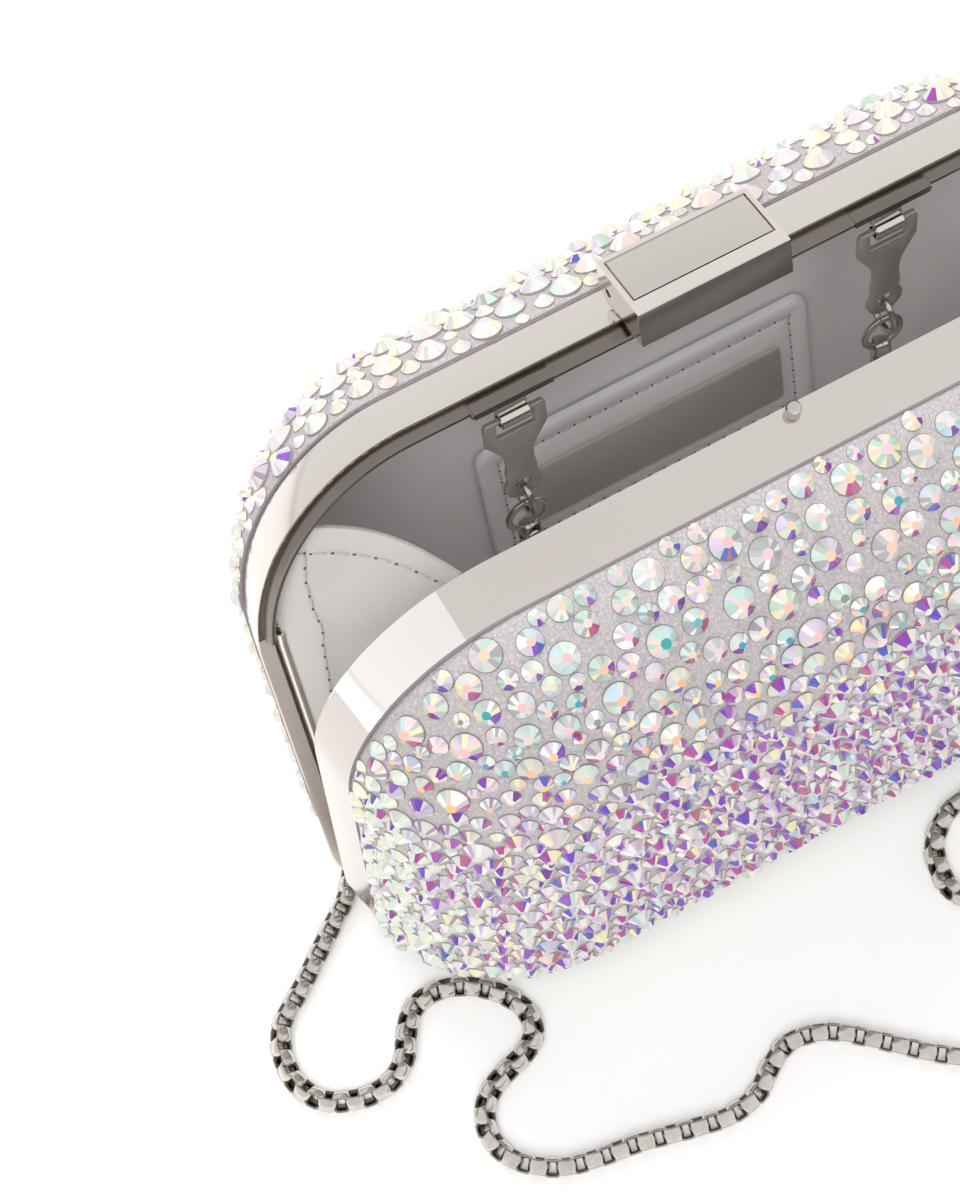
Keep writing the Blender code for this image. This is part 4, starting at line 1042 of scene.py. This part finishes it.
# Painted shade: its upright front and back faces get a darker copy of the nickel than its top
cap.data.materials.append(nickel_plate("painted_shade_cap_nickel", "#C3BDB8", "#B8B1AC", 0.16, 0.24, 16, 0.06))
for face in cap.data.polygons:
    if abs(face.normal.y) > 0.6:
        face.material_index = 1
inset_metal = nickel_plate("inset_plate_nickel", "#DDD7D2", "#D3CCC7", 0.14, 0.22, 16, 0.08)
dressed_copy("clasp_top_plate", inset_metal, SMALL_EDGE)
dark_steel = nickel_plate("hardened_steel", "#9A938E", "#877F7A", 0.22, 0.34, 6, 0.2)
for node in ("clasp_bracket", "clasp_catch"):
    dressed_copy(node, dark_steel, SMALL_EDGE)
for node in ("clasp_axle", "clasp_spring", "left_hinge_pin", "right_hinge_pin"):
    dressed_copy(node, dark_steel, 0)
# The stud: a ball sunk in a short neck
bpy.ops.mesh.primitive_uv_sphere_add(segments=32, ring_count=20, radius=0.0013,
                                     location=leaned(FRONT, 0, STUD_DEPTH, HEIGHT + 0.0013))
ball = bpy.context.object
ball.name = "sprung_ball"
bpy.ops.mesh.primitive_cylinder_add(vertices=32, radius=0.00115, depth=0.0009,
                                    location=leaned(FRONT, 0, STUD_DEPTH, HEIGHT + 0.00015))
ball.select_set(True)
bpy.context.view_layer.objects.active = ball
bpy.ops.object.join()
bpy.ops.object.transform_apply()
finish_piece(ball, chain_plate, "ball_stud", SOFTER)


# Hangers, hooks and rings: stamped nickel plates that swing on the hangers' rolled
# bars, and two closed wire rings on each that carry the inner chain.
SADDLE_AIR = 0.00012
BAR_HALF = 0.0026
BAR_BELOW = 0.008
BAR_DEPTH = -0.0005
ROLL_SIDES = 28
# Rings of the rolled bar, from its bore over its ends: radius, and place along it
ROLL = ((0.001, -1), (0.0013, -1.02), (0.0016, -0.94), (0.0016, 0.94), (0.0013, 1.02), (0.001, 1))
RING_RADIUS = 0.00345
RING_WIRE = 0.00058
hook_metal = nickel_plate("stamped_hook_nickel", "#C9C1BB", "#B3ABA5", 0.24, 0.36, 5, 0.15, 0.72)
for sign, word in ENDS:
    x = sign * HOOK_X
    saddle = add_box(word + "_saddle", (x - HANGER_HALF, -1, 0), (x + HANGER_HALF, 1, 1), REAR)
    spots = [(a, back, top) for a in (-1, 1) for back in (0, 1) for top in (0, 1)]
    for vert, (a, back, top) in zip(saddle.data.vertices, spots):
        under = HEIGHT - (TONGUE_INSET if back else tip)
        z = under + SADDLE_AIR if top else under - TONGUE_THICKNESS - SADDLE_AIR
        vert.co = leaned(REAR, x + a * HANGER_HALF, PARTING_GAP - 0.0002 if back else -TONGUE_PROUD - 0.00016, z)
    apply_modifier(saddle, "BEVEL", width=0.00012, segments=2)
    finish_piece(saddle, shaded, word + "_hanger", SOFT)
    bar_z = HEIGHT - BAR_BELOW
    tab = add_box(word + "_hanger_tab", (x - BAR_HALF, -0.00085, bar_z + 0.0009),
                  (x + BAR_HALF, -0.00015, HEIGHT - 0.0026), REAR)
    apply_modifier(tab, "BEVEL", width=0.0001, segments=2)
    turns = [2 * pi * k / ROLL_SIDES for k in range(ROLL_SIDES)]
    rings = [[leaned(REAR, x + BAR_HALF * along, BAR_DEPTH + radius * cos(a), bar_z + radius * sin(a)) for a in turns]
             for radius, along in ROLL]
    for piece in (tab, draw_rings(word + "_hanger_roll", rings)):
        finish_piece(piece, polished, word + "_hanger", SOFT)
    dressed_copy(word + "_hook", hook_metal, 0.00014)
    for place, turn in (("upper", (0, pi / 2, 0)), ("lower", (pi / 2, 0, 0))):
        node = word + "_" + place + "_ring"
        low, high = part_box(node)
        bpy.ops.mesh.primitive_torus_add(major_segments=40, minor_segments=12, major_radius=RING_RADIUS,
                                         minor_radius=RING_WIRE, location=(low + high) / 2, rotation=turn)
        bpy.ops.object.transform_apply()
        ring = bpy.context.object
        ring.name = word + "_" + place + "_wire_ring"
        ring.data.shade_smooth()
        finish_piece(ring, chain_plate, node)


# Hinge leaves and the moulded shells: kept as packed, in their own finishes.
for sign, word in ENDS:
    for side, half in HALVES:
        dressed_copy("%s_hinge_%s_leaf" % (word, half), hook_metal, 0)
shell_mat = grained("moulded_fibre", "#55514F", 0.6, 0.8, 0.3, 0.0001)[0]
for side, word in HALVES:
    frame["nodes"][word + "_shell"].data.materials[0] = shell_mat


# Floor and backdrop: one pale sheet. Lamps: a large soft key in front on the left, and a
# second above the back that reaches inside the open bag.
FLOOR_LIFT = 0.145
SKY_FILL = 0.45


def seen_rays(tree):
    """1 for rays from the camera, off gloss or through glass; 0 for those that only light."""
    rays = add_node(tree, "LightPath")
    seen = (rays, "Is Camera Ray")
    for kind in ("Is Glossy Ray", "Is Transmission Ray"):
        seen = (add_node(tree, "Math", {0: seen, 1: (rays, kind)}, operation="MAXIMUM"), "Value")
    return seen


floor_mat, floor_tree, floor_shader = new_material("pale_floor", "#F1F0EF", 0.9)
lift = add_node(floor_tree, "Math", {0: seen_rays(floor_tree), 1: FLOOR_LIFT}, operation="MULTIPLY")
feed(floor_shader, {"Emission Color": (1, 1, 1, 1), "Emission Strength": (lift, "Value")})
bpy.ops.mesh.primitive_plane_add(size=6)
floor = bpy.context.object
floor.name = "floor"
floor.data.materials.append(floor_mat)
floor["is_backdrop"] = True
world = bpy.data.worlds.new("soft_studio")
scene.world = world
world.use_nodes = True
sky = world.node_tree
compass = add_node(sky, "TexCoord")
height = add_node(sky, "SeparateXYZ", {"Vector": (compass, "Generated")})
fade = add_node(sky, "MapRange", {"Value": (height, "Z"), "To Min": 1.0, "To Max": 0.9})
strength = add_node(sky, "Mix",
                    {"Factor": seen_rays(sky), "A": SKY_FILL, "B": (fade, "Result")}, data_type="FLOAT")
feed(sky.nodes["Background"], {"Color": linear("#FCFBFA"), "Strength": (strength, "Result")})
for name, place, size, power in (("key_lamp", (-0.555, -0.885, 1.59), 1.05, 23.9),
                                 ("rear_lamp", (0.225, 0.9, 1.5), 1.35, 18.0)):
    bpy.ops.object.light_add(type="AREA", location=place)
    lamp = bpy.context.object
    lamp.name = name
    lamp.data.size = size
    lamp.data.energy = power
    lamp.visible_glossy = False
    lamp.rotation_euler = (Vector((0, 0, 0.06)) - Vector(place)).to_track_quat("-Z", "Y").to_euler()
scene.view_settings.view_transform = "Standard"

low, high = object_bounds()
